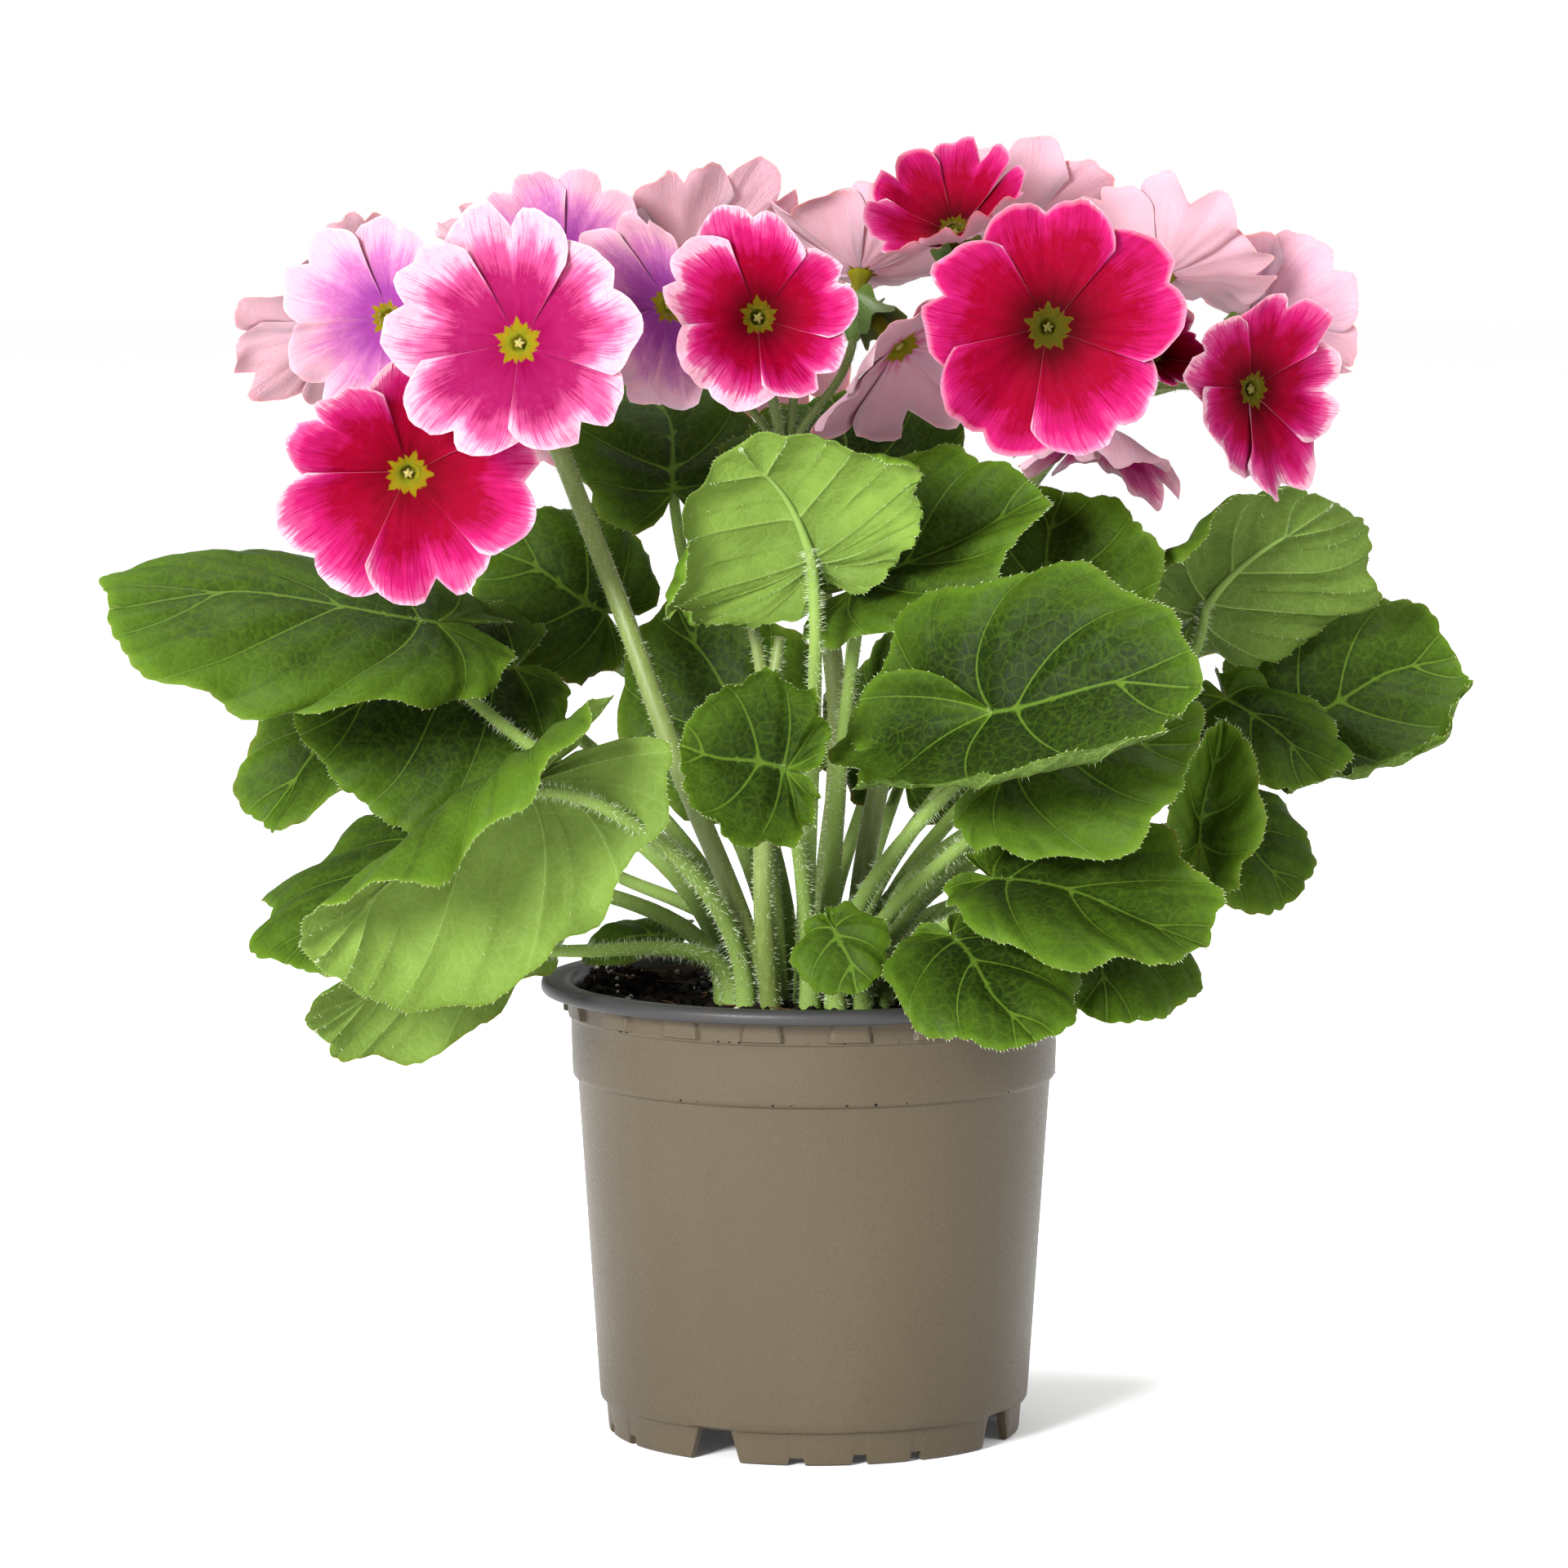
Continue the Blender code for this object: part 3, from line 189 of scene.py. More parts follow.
ANTHER_PROFILE = ((-1.7, 0.0), (-1.6, 0.3), (-0.8, 0.35), (-0.5, 0.75), (0.0, 0.95), (0.35, 0.7), (0.5, 0.0))
# How far each of the calyx's rings takes part in its five lobes.
CALYX_LOBES = np.array([0, 0, 0, 0, 0.05, 0.2, 0.5, 0.9, 1.0, 0.9, 0.5, 0.1, 0, 0])

# The pot's foot: its radius, the height of its skirt, the turn in degrees of the first of its four tall notches, and
# for each notch of a quarter its turn from there, half its width below and above, and its height.
FOOT_RADIUS = 45.3
SKIRT_TOP = 7.6
NOTCH_START = -118.5
QUARTER_NOTCHES = ((0, 6.0, 4.0, 6.9), (23.5, 1.9, 1.5, 1.4), (41, 1.9, 1.4, 2.0), (57.5, 1.6, 1.2, 1.8))
FOOT_NOTCHES = [(NOTCH_START + 90 * quarter + place, *sizes) for quarter in range(4)
                for place, *sizes in QUARTER_NOTCHES]
# The band below the rim: its shallow pads, the degrees from one to the next, and the turn of the first.
PADS = 18
PAD_STEP = 20
PAD_START = -82.0
# The four drain holes: distance from the middle, and radius.
DRAIN_PLACE = 33
DRAIN_RADIUS = 4
# Heights of the soil's surface and of the line where the grey rim begins.
SOIL_LEVEL = 94.5
RIM_LINE = 97.2
# How deep stalks reach into the soil, and how high they leave it straight.
ROOT_DEPTH = 3.0
ROOT_LEAD = 1.5
# Half the side of the floor and how far it lies under the pot, in millimetres. In metres: every lamp's place, the
# point that it is aimed at and its width, with its share of the main light's power, and the camera's place. The
# camera's tilt below the level is in degrees, its lens in millimetres.
FLOOR_SIZE = 6000
FLOOR_DROP = 0.2
LAMPS = {
    "key": ((-0.95, -1.62, 0.78), (0.0, 0.0, 0.15), 0.6, 1.0),
    "fill": ((1.2, -1.2, 1.0), (0.0, 0.0, 0.2), 0.6, 0.08),
    "top": ((0.0, 0.2, 1.6), (0.0, 0.0, 0.15), 0.7, 0.24),
}
CAMERA_PLACE = (-0.0066, -1.5754, 0.3073)
CAMERA_TILT = 5.963
CAMERA_LENS = 165.83
# How far out lumps and fibres may lie on the soil, and how many crumbs, grains of grit, fibres and crumbs fallen on
# the pot's ledges there are.
SOIL_EDGE = 49.5
FIBRE_EDGE = 50.5
CRUMBS = 900
GRIT = 70
FIBRES = 60
FALLEN = 46

# The make of a leaf. Where its margin begins to roll, as a share of the way out; the width and depth of its teeth;
# how far the valleys along its main and its small side veins reach, how wide its quilts are and how thick it is to
# each side; points of its stalk from the soil to the blade; and grid steps of near and far leaves.
ROLL_START = 0.76
TOOTH_WIDTH = 4.4
TOOTH_DEPTH = 0.9
VEIN_VALLEY = 3.4
SMALL_VALLEY = 2.0
QUILT_WIDTH = 5.4
HALF_THICKNESS = 0.2
STALK_POINTS = 26
NEAR_STEP = 0.95
FAR_STEP = 1.5
# Hairs for each millimetre of a leaf's stalk, a flower stalk and a stalklet, and on each cup.
LEAF_HAIRS = 11
STALK_HAIRS = 13
STALKLET_HAIRS = 10
CUP_HAIRS = 90
# How far behind the eye of a bloom its stalklet enters the cup, and the radius at which its petals begin.
CUP_FOOT = 16
EYE_HOLE = 2.0
# As shares of a petal: the least and most depth of the notch in the middle of its margin, the notch's half width, and
# how much its sides are rounded off.
PETAL_NOTCH = (0.09, 0.17)
NOTCH_WIDTH = 0.12
PETAL_ROUNDING = 0.27
# Rows and columns of a petal's grid.
PETAL_GRID = (20, 30)


def display(red, green, blue):
    """A colour given as 0 to 255 on a display, as linear light: each share to the power 2.4 above its dark end."""
    share = np.array([red, green, blue]) / 255
    return tuple(float(v) for v in np.where(share > 0.04045, ((share + 0.055) / 1.055) ** 2.4, share / 12.92))


def unit(vector):
    """Vectors at length one."""
    vector = np.asarray(vector, float)
    return vector / np.maximum(np.linalg.norm(vector, axis=-1, keepdims=True), 1e-12)


def clamp(value):
    """The value, or 0 or 1 where it is outside them."""
    return np.clip(value, 0, 1)


def square_to(vector, axis):
    """The part of each vector that is square to its axis, at length one."""
    vector = np.asarray(vector, float)
    return unit(vector - axis * np.sum(vector * axis, axis=-1, keepdims=True))


def beside(axis):
    """A direction square to the axis: straight up as far as it can be, or +Y beside an upright axis."""
    return square_to((0, 0, 1) if abs(axis[2]) < 0.9 else (0, 1, 0), axis)


def round_pot(radius, turn, height):
    """Points at a distance from the pot's middle line, a turn round it and a height."""
    return np.stack([radius * np.cos(turn), radius * np.sin(turn), height + 0 * radius * turn], axis=-1)


def lattice(cell, seed):
    """A fixed value from 0 to 1 for each whole-number cell: its coordinates times large primes, mixed and cut off."""
    cell = cell.astype(np.int64)
    mixed = cell[..., 0] * 73856093 ^ cell[..., 1] * 19349663 ^ cell[..., 2] * 83492791 ^ (seed * 265443576 + 12345)
    mixed = (mixed ^ (mixed >> 13)) * 1274126177 & 0xFFFFFFFF
    return ((mixed ^ (mixed >> 15)) & 0xFFFF) / 65535


def drift(points, size, seed):
    """Smooth values from -1 to 1: those of the eight lattice corners round a point, blended by 3f² - 2f³."""
    place = np.asarray(points, float) / size
    low = np.floor(place)
    blend = place - low
    blend = blend * blend * (3 - 2 * blend)
    total = 0
    for corner in np.ndindex(2, 2, 2):
        weight = np.prod(np.where(np.array(corner) == 1, blend, 1 - blend), axis=-1)
        total = total + weight * lattice(low + corner, seed)
    return 2 * total - 1


def cell_domes(x, y, size, seed):
    """Domes side by side, 1 at their tops and 0 at their borders: the distance to the nearest of one scattered point
    per square, taken from one."""
    place = np.stack([x, y], axis=-1) / size
    low = np.floor(place)
    nearest = np.full(x.shape, 9.0)
    for step in np.ndindex(3, 3):
        cell = low + np.array(step) - 1
        flat = np.concatenate([cell, np.zeros_like(cell[..., :1])], axis=-1)
        point = cell + np.stack([lattice(flat, seed), lattice(flat, seed + 7)], axis=-1)
        nearest = np.minimum(nearest, np.linalg.norm(point - place, axis=-1))
    return clamp(1 - nearest ** 2 * 1.6)


def bezier(start, handle_a, handle_b, end, count):
    """Points along a cubic curve: its four corners weighted by the terms of ((1 - t) + t)³."""
    t = np.linspace(0, 1, count)[:, None]
    start, handle_a, handle_b, end = (np.asarray(p, float) for p in (start, handle_a, handle_b, end))
    return (1 - t) ** 3 * start + 3 * t * (1 - t) ** 2 * handle_a + 3 * t ** 2 * (1 - t) * handle_b + t ** 3 * end


def smooth_path(points, count):
    """A curve through the points: between two of them a cubic whose slope at each is half its neighbours' step."""
    points = np.asarray(points, float)
    padded = np.concatenate([2 * points[:1] - points[1:2], points, 2 * points[-1:] - points[-2:-1]])
    place = np.linspace(0, len(points) - 1.000001, count)
    i = place.astype(int)
    t = (place - i)[:, None]
    a, b, c, d = padded[i], padded[i + 1], padded[i + 2], padded[i + 3]
    return 0.5 * (2 * b + (c - a) * t + (2 * a - 5 * b + 4 * c - d) * t ** 2 + (3 * b - a - 3 * c + d) * t ** 3)


def grid_faces(rows, cols, closed=False):
    """Quads of a grid of points, row by row. closed joins the last column to the first."""
    row, col = np.meshgrid(np.arange(rows - 1), np.arange(cols if closed else cols - 1), indexing="ij")
    right = (col + 1) % cols
    corners = [row * cols + col, row * cols + right, (row + 1) * cols + right, (row + 1) * cols + col]
    return np.stack(corners, axis=-1).reshape(-1, 4)


def grid_normals(points, spare):
    """The way a grid surface faces: the cross product of its steps along rows and columns, or spare at a pole."""
    cross = np.cross(np.gradient(points, axis=0), np.gradient(points, axis=1))
    length = np.linalg.norm(cross, axis=-1, keepdims=True)
    return np.where(length > 1e-4, cross / np.maximum(length, 1e-12), spare)


class Skin:
    """Points, faces and point values of one mesh, gathered from its surfaces."""

    def __init__(self):
        self.points = []
        self.faces = {3: [], 4: []}
        self.values = []
        self.count = 0

    def add(self, points, faces, **values):
        """One more surface. Each value is one number for all of it, or one for each point."""
        points = np.asarray(points, float).reshape(-1, 3)
        self.faces[faces.shape[1]].append(faces + self.count)
        self.points.append(points)
        self.values.append((len(points), values))
        self.count += len(points)

    def put_values(self, mesh):
        """The point values as the mesh's attributes, 0 where a surface has none."""
        names = {name for _, values in self.values for name in values}
        for name in sorted(names):
            width = 3 if name == "place" else 1
            layer = mesh.attributes.new(name, "FLOAT_VECTOR" if width == 3 else "FLOAT", "POINT")
            columns = []
            for count, values in self.values:
                value = np.asarray(values.get(name, 0.0), float)
                value = value.reshape(-1, width) if value.size > width or width == 1 else value.reshape(1, -1)
                columns.append(np.broadcast_to(value, (count, width)))
            data = np.concatenate(columns).astype(np.float32).ravel()
            layer.data.foreach_set("vector" if width == 3 else "value", data)

    def mesh(self, name):
        """The mesh, with its seams and poles closed and its faces turned outwards."""
        tris = np.concatenate([np.zeros((0, 3), int), *self.faces[3]])
        quads = np.concatenate([np.zeros((0, 4), int), *self.faces[4]])
        corners = np.concatenate([tris.ravel(), quads.ravel()]).astype(np.int32)
        starts = np.concatenate([3 * np.arange(len(tris)), 3 * len(tris) + 4 * np.arange(len(quads))])
        mesh = bpy.data.meshes.new(name)
        mesh.vertices.add(self.count)
        mesh.vertices.foreach_set("co", (np.concatenate(self.points) * MM).astype(np.float32).ravel())
        mesh.loops.add(len(corners))
        mesh.loops.foreach_set("vertex_index", corners)
        mesh.polygons.add(len(starts))
        mesh.polygons.foreach_set("loop_start", starts.astype(np.int32))
        mesh.update(calc_edges=True)
        self.put_values(mesh)
        work = bmesh.new()
        work.from_mesh(mesh)
        bmesh.ops.remove_doubles(work, verts=work.verts, dist=5e-7)
        bmesh.ops.recalc_face_normals(work, faces=work.faces)
        work.to_mesh(mesh)
        work.free()
        return mesh


def finished(skin, node, finish, smooth_angle):
    """The skin as an object that stands for a node of the part, with its finish and smooth shading."""
    name = node + "_fine"
    mesh = skin.mesh(name)
    mesh.materials.append(finish)
    mesh.shade_smooth()
    mesh.set_sharp_from_angle(angle=math.radians(smooth_angle))
    obj = bpy.data.objects.new(name, mesh)
    bpy.context.scene.collection.objects.link(obj)
    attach(obj, "root")
    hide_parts(node)
    return obj


def tube(skin, path, radii, sides, **values):
    """A round tube: at each point of the path a ring of centre + radius × (cos × side + sin × up), carried along
    without twisting, and closed by a point at both ends. Gives back the rings and their outward directions."""
    path = np.asarray(path, float)
    along = unit(np.gradient(path, axis=0))
    side = square_to((0, 1, 0) if abs(along[0][1]) < 0.8 else (1, 0, 0), along[0])
    sides_at = []
    for direction in along:
        side = square_to(side, direction)
        sides_at.append(side)
    side = np.array(sides_at)[:, None, :]
    up = np.cross(along, np.array(sides_at))[:, None, :]
    turn = np.linspace(0, 2 * math.pi, sides, endpoint=False)[None, :, None]
    outward = np.cos(turn) * side + np.sin(turn) * up
    rings = path[:, None, :] + np.asarray(radii, float)[:, None, None] * outward
    start = np.repeat(path[:1], sides, axis=0)[None]
    end = np.repeat(path[-1:], sides, axis=0)[None]
    skin.add(np.concatenate([start, rings, end]), grid_faces(len(path) + 2, sides, closed=True), **values)
    return rings, outward


def revolved(skin, profile, sides, centre, axis, wave, **values):
    """A turned form: each (height, radius) row of the profile as a ring round the axis. wave adds (height, radius)
    to each ring as a function of row and turn."""
    axis = unit(axis)
    side = beside(axis)
    up = np.cross(axis, side)
    turn = np.linspace(0, 2 * math.pi, sides, endpoint=False)[None, :]
    profile = np.asarray(profile, float)
    more_height, more_radius = wave(np.arange(len(profile))[:, None], turn)
    height = profile[:, :1] + more_height + 0 * turn
    radius = profile[:, 1:] + more_radius * (profile[:, 1:] > 0) + 0 * turn
    ring = np.cos(turn)[..., None] * side + np.sin(turn)[..., None] * up
    points = np.asarray(centre, float) + radius[..., None] * ring + height[..., None] * axis
    skin.add(points, grid_faces(len(profile), sides, closed=True), **values)


def spikes(skin, base, direction, length, width, **values):
    """Thin spikes: three corners at the base round the direction, and one at the end of its length."""
    direction = unit(direction)
    helper = np.where(np.abs(direction[:, 2:]) < 0.9, [[0.0, 0.0, 1.0]], [[1.0, 0.0, 0.0]])
    side = square_to(helper, direction)
    other = np.cross(direction, side)
    turn = (np.arange(3) * 2 * math.pi / 3)[None, :, None]
    around = np.cos(turn) * side[:, None] + np.sin(turn) * other[:, None]
    length = np.broadcast_to(length, len(base))[:, None]
    corners = (base - 0.12 * direction)[:, None] + width * around
    points = np.concatenate([corners, (base + length * direction)[:, None]], axis=1)
    shape = np.array([[0, 1, 3], [1, 2, 3], [2, 0, 3], [2, 1, 0]])
    skin.add(points, (4 * np.arange(len(base))[:, None, None] + shape).reshape(-1, 3), **values)


def fuzz(skin, rings, outward, count, length, rng, width=0.055):
    """Fine hairs on a tube, at random places between its rings, standing out with a random lean."""
    rows, sides = rings.shape[:2]
    row = rng.uniform(0, rows - 1.001, count)
    col = rng.uniform(0, sides, count)
    i, j = row.astype(int), col.astype(int) % sides
    f, g = (row - i)[:, None], (col - col.astype(int))[:, None]
    right = (j + 1) % sides

    def between(grid):
        low = (1 - g) * grid[i, j] + g * grid[i, right]
        return (1 - f) * low + f * ((1 - g) * grid[i + 1, j] + g * grid[i + 1, right])

    lean = rng.normal(0, 0.25, (count, 3))
    lengths = length * rng.uniform(0.55, 1.15, count)
    spikes(skin, between(rings), between(outward) + lean, lengths, width, hair=1.0)


def shell(skin, points, normals, above, below, **values):
    """A closed sheet: the surface moved up and down its normals by above and below, which are 0 on its border."""
    rows, cols = points.shape[:2]
    faces = grid_faces(rows, cols)
    side = np.where((above <= 0) & (below <= 0), 0.5, 1.0).ravel()
    flat = {name: np.asarray(value, float) for name, value in values.items()}
    skin.add(points + above[..., None] * normals, faces, upper=side, **flat)
    skin.add(points - below[..., None] * normals, faces[:, ::-1], upper=np.where(side == 1.0, 0.0, 0.5), **flat)


# Finishes

class Finish:
    """A Principled finish in the making. Each call adds a node and gives back what it puts out."""

    def __init__(self, name, **inputs):
        self.material = bpy.data.materials.new(name)
        self.material.use_nodes = True
        self.nodes = self.material.node_tree.nodes
        self.links = self.material.node_tree.links
        self.shader = self.nodes["Principled BSDF"]
        for key, value in inputs.items():
            self.put(self.shader.inputs[key.replace("_", " ")], value)

    def put(self, socket, value):
        """Joins the value to the socket if it comes from a node, and sets it otherwise."""
        if isinstance(value, bpy.types.NodeSocket):
            self.links.new(value, socket)
        elif socket.type == "RGBA":
            socket.default_value = (*value[:3], 1.0)
        else:
            socket.default_value = value

    def node(self, kind, output=0, inputs=(), **settings):
        """A node of this kind with its settings, each input joined or set, and what it puts out."""
        node = self.nodes.new("ShaderNode" + kind)
        for key, value in settings.items():
            setattr(node, key, value)
        for key, value in dict(inputs).items():
            self.put(node.inputs[key], value)
        return node.outputs[output]

    def attribute(self, name, output="Fac"):
        return self.node("Attribute", output, attribute_name=name)

    def place(self):
        return self.node("TexCoord", "Object")

    def stretched(self, vector, *scale):
        return self.node("Mapping", 0, {"Vector": vector, "Scale": scale})

    def math(self, operation, first, second):
        return self.node("Math", 0, {0: first, 1: second}, operation=operation)

    def times(self, first, second):
        return self.math("MULTIPLY", first, second)

    def plus(self, first, second):
        return self.math("ADD", first, second)

    def about_middle(self, value, share):
        """value less 0.5, times the share."""
        return self.times(self.math("SUBTRACT", value, 0.5), share)

    def smooth(self, value, low, high, start=0.0, end=1.0):
        """start below low and end above high, with an even turn between."""
        inputs = dict(enumerate((value, low, high, start, end)))
        return self.node("MapRange", 0, inputs, interpolation_type="SMOOTHSTEP")

    def mix(self, factor, first, second):
        return self.node("Mix", 2, {0: factor, 6: first, 7: second}, data_type="RGBA")

    def coats(self, colour, *coats):
        """The colour with coats laid over it in turn, each a factor and its colour."""
        for factor, coat in coats:
            colour = self.mix(factor, colour, coat)
        return colour

    def noise(self, vector, scale, detail=2.0, roughness=0.5):
        return self.node("TexNoise", 0, {"Vector": vector, "Scale": scale, "Detail": detail, "Roughness": roughness})

    def network(self, vector, scale):
        """Distance to the borders of a mesh of cells."""
        return self.node("TexVoronoi", "Distance", {"Vector": vector, "Scale": scale}, feature="DISTANCE_TO_EDGE")

    def ramp(self, factor, stops):
        node = self.nodes.new("ShaderNodeValToRGB")
        self.put(node.inputs[0], factor)
        band = node.color_ramp.elements
        for element, (position, colour) in zip((band[0], band[-1]), (stops[0], stops[-1])):
            element.position = position
            element.color = (*colour, 1.0)
        for position, colour in stops[1:-1]:
            band.new(position).color = (*colour, 1.0)
        return node.outputs[0]

    def shade(self, colour, relief, strength, distance, roughness=None):
        """Gives the shader its colour, a bump from the relief and, where it varies, its roughness."""
        self.put(self.shader.inputs["Base Color"], colour)
        bump = self.node("Bump", 0, {"Strength": strength, "Distance": distance, "Height": relief})
        self.put(self.shader.inputs["Normal"], bump)
        if roughness is not None:
            self.put(self.shader.inputs["Roughness"], roughness)
        return self.material


# Leaves

class Blade:
    """The curved surface of one leaf. across runs from -1 at the right margin to 1 at the left, and row from 0 at the
    notch of the leaf to 1 at its tip, and a row is a chevron from the margin to the midrib and out again."""

    def __init__(self, spec):
        self.base = np.asarray(spec["base"], float)
        chord = np.asarray(spec["tip"], float) - self.base
        half = math.radians(spec["bend"]) / 2
        reach = np.linalg.norm(chord)
        chord = chord / reach
        normal = square_to(spec["up"], chord)
        self.length = reach * half / math.sin(half)
        self.forward = math.cos(half) * chord + math.sin(half) * normal
        self.normal = math.cos(half) * normal - math.sin(half) * chord
        self.side = np.cross(self.normal, self.forward)
        self.bend = -2 * half
        self.half_width = spec["width"] / 2
        self.halves = (spec["left"], spec["right"])
        self.back = spec["back"]
        self.first_angle = math.radians(180 - spec["notch"])

    def outline(self, angle, waves, uneven, teeth):
        """Length along the leaf and distance from the midrib of the margin, at an angle seen from the stalk: a circle
        that the stalk meets behind its middle, drawn to the leaf's width, with lobes, teeth and a blunt tip. The lobe
        behind the stalk ends round, by sqrt(1 - x⁴), or sqrt(1 - x²) where the two halves pass each other."""
        radius = (1 + self.back) * self.length / 2
        ahead = (1 - self.back) * self.length / 2
        reach = ahead * np.cos(angle) + np.sqrt(radius ** 2 - (ahead * np.sin(angle)) ** 2)
        lobes = -0.05 * np.cos(math.pi * waves * angle / self.first_angle) * (1 - np.exp(-(angle / 0.42) ** 2))
        tip = 0.02 * np.exp(-(angle / 0.25) ** 2) + 0.06 * np.sin(2 * np.minimum(np.abs(angle), math.pi / 2)) ** 2
        reach = reach * (1 + lobes + tip + uneven) + teeth
        lapped = self.first_angle > math.pi
        start = math.radians(160) if lapped else 0.72 * self.first_angle
        past = clamp((angle - start) / (self.first_angle - start))
        reach = reach * np.sqrt(1 - past ** (2 if lapped else 4))
        return reach * np.cos(angle), reach * np.sin(angle) * self.half_width / radius

    def place(self, along, across, margin, roll):
        """The point for a place on the flat leaf, which is bent to an arc along its midrib and folded and curled
        across it, each half to its own arc. From ROLL_START of the way to the margin on, a tighter arc adds the
        roll."""
        near = np.abs(across)
        fold_left, curl_left = np.radians(self.halves[0])
        fold_right, curl_right = np.radians(self.halves[1])
        fold = np.where(across > 0, fold_left, fold_right)
        curl = np.where(across > 0, curl_left, curl_right)
        rate = np.where(np.abs(curl) < 1e-3, 1e-3, curl) / self.half_width
        flat = np.minimum(near, ROLL_START * margin)
        turned = fold + rate * flat
        out = (np.sin(turned) - np.sin(fold)) / rate
        rise = (np.cos(fold) - np.cos(turned)) / rate
        tight = rate + np.where(np.abs(roll) < 1e-3, 1e-3, roll) / np.maximum((1 - ROLL_START) * margin, 0.5)
        ended = turned + tight * (near - flat)
        out = out + (np.sin(ended) - np.sin(turned)) / tight
        rise = rise + (np.cos(turned) - np.cos(ended)) / tight
        bend = (self.bend if abs(self.bend) > 1e-4 else 1e-4) / self.length
        run, lift, angle = np.sin(bend * along) / bend, (1 - np.cos(bend * along)) / bend, bend * along
        middle = self.base + run[..., None] * self.forward + lift[..., None] * self.normal
        normal = np.cos(angle)[..., None] * self.normal - np.sin(angle)[..., None] * self.forward
        return middle + (np.sign(across) * out)[..., None] * self.side + rise[..., None] * normal, normal


def leaf_blade(skin, blade, spec, step, bulge, seed, rng):
    """The blade of a leaf as a closed sheet, n from 0 at the midrib to 1 at the margin. Row r leans on towards the
    tip by 0.17 n^1.15 sin(πr)^1.2, as the side veins do. The surface rises between the veins by
    1 - exp(-distance²), quilts in cells, waves at the margin by a sine times n², and the underside stands out along
    the veins by exp(-distance²)."""
    waves = spec["waves"]
    rows = waves * max(4, round(math.pi * blade.half_width * 0.9 / step / waves))
    cols = max(8, round(blade.half_width / step / 1.7))
    row = np.linspace(0, 1, rows + 1)[:, None]
    across = np.linspace(-1, 1, 2 * cols + 1)[None, :]
    half = np.sign(across)
    across = half * (1 - (1 - np.abs(across)) ** 1.2)
    near = np.abs(across)
    bowed = row + 0.17 * near ** 1.15 * np.sin(math.pi * row) ** 1.2
    angle = blade.first_angle * (1 - bowed)

    # The margin with its teeth, and each point's place on the flat leaf between the midrib, which sways a little, and
    # the margin.
    margin = np.stack(blade.outline(angle[:, -1], waves, 0.0, 0.0), axis=-1)
    arc = np.concatenate([[0], np.cumsum(np.linalg.norm(np.diff(margin, axis=0), axis=-1))])[:, None]
    scallop = np.abs(np.sin(math.pi * arc / TOOTH_WIDTH + 0.6 * half)) ** 0.7 - 0.7
    uneven = drift(np.stack([arc / 11 + 0 * near, half + 0 * arc, seed + 0 * arc * near], -1), 1, 17)
    ends = clamp(14 * (1 - bowed))
    out_along, out_across = blade.outline(angle, waves, 0.06 * uneven * near ** 4 * ends,
                                          TOOTH_DEPTH * scallop * near ** 6 * ends)
    reach = clamp(1 - np.degrees(angle) / 112) ** 2.1
    foot = blade.length * 1.005 * reach
    along = foot + near * (out_along - foot)
    sideways = across * out_across
    to_middle = np.hypot(sideways, np.minimum(along, 0))
    sway = 0.035 * blade.length * (np.sin(5 * along / blade.length + seed) - math.sin(seed))
    sideways = sideways + sway * (1 - near) ** 2 * (foot > 0) * clamp(2.5 * (1 - along / blade.length))

    # The leaf folded, curled and rolled, with a wave along its margin.
    roll = np.where(across > 0, *np.radians(spec["rolls"]))
    roll = roll * (0.8 + 0.35 * np.sin(0.9 * math.pi * waves * bowed + seed))
    roll = roll * clamp(6 * bowed - 0.5) * clamp(5 * (1 - bowed))
    roll = roll * clamp((2.75 - angle) / 0.7)
    points, spare = blade.place(along, sideways, np.abs(out_across) + 0 * near, roll)
    wave = np.sin(0.5 * math.pi * waves * (1 - bowed) + half) * near ** 2
    fade = clamp(4 * bowed) * clamp(4 * (1 - bowed))
    points = points + (spec["ruffle"] * wave * fade)[..., None] * spare
    normals = grid_normals(points, spare)

    # Distances to the veins. Every second place of a row carries a side vein, and the places between a small one.
    spacing = np.linalg.norm(np.gradient(points, axis=0), axis=-1) * rows
    places = np.round((np.arange(waves) + rng.uniform(-0.22, 0.22, waves)) * rows / waves) / rows
    to_side, to_small = (np.minimum.reduce([np.abs(row - place) for place in veins]) * spacing
                         for veins in (places[1::2], places[2::2]))
    to_main = np.minimum(to_side, to_middle)
    thin = 1 - 0.6 * clamp(along / blade.length)
    vein = np.minimum(to_middle / (0.8 * thin), to_side / (0.55 - 0.25 * near) + 0.3 * near)
    vein = np.minimum(vein, 0.6 + to_small / 0.4 + 3 * clamp(0.35 - near))

    # Height above the folded leaf: valleys, quilts, ripples, the margin's stand and the lobes that pass each other.
    rise = 1 - np.exp(-(to_main / VEIN_VALLEY) ** 2)
    small_rise = 1 - np.exp(-(to_small / SMALL_VALLEY) ** 2)
    domes = cell_domes(along + 300, sideways + 300, QUILT_WIDTH, seed)
    ripple = 2.8 * drift(points, 15, seed) * near ** 2 + 1.5 * drift(points, 6.5, seed + 3) * near ** 4
    lift = np.where(across > 0, *spec["rims"]) * clamp((near - 0.55) / 0.45) ** 2
    ripple = ripple + lift * (0.7 + 0.5 * np.sin(0.8 * math.pi * waves * bowed + seed))
    height = bulge * (0.8 * rise + 0.4 * small_rise * near + 0.35 * rise * domes) - 0.5 * bulge + ripple * fade
    apart = clamp(1 - bowed / 0.45)
    height = height + spec["lap"] * half * apart ** 2 * (3 - 2 * apart) * clamp(2.5 * near)
    points = points + height[..., None] * normals
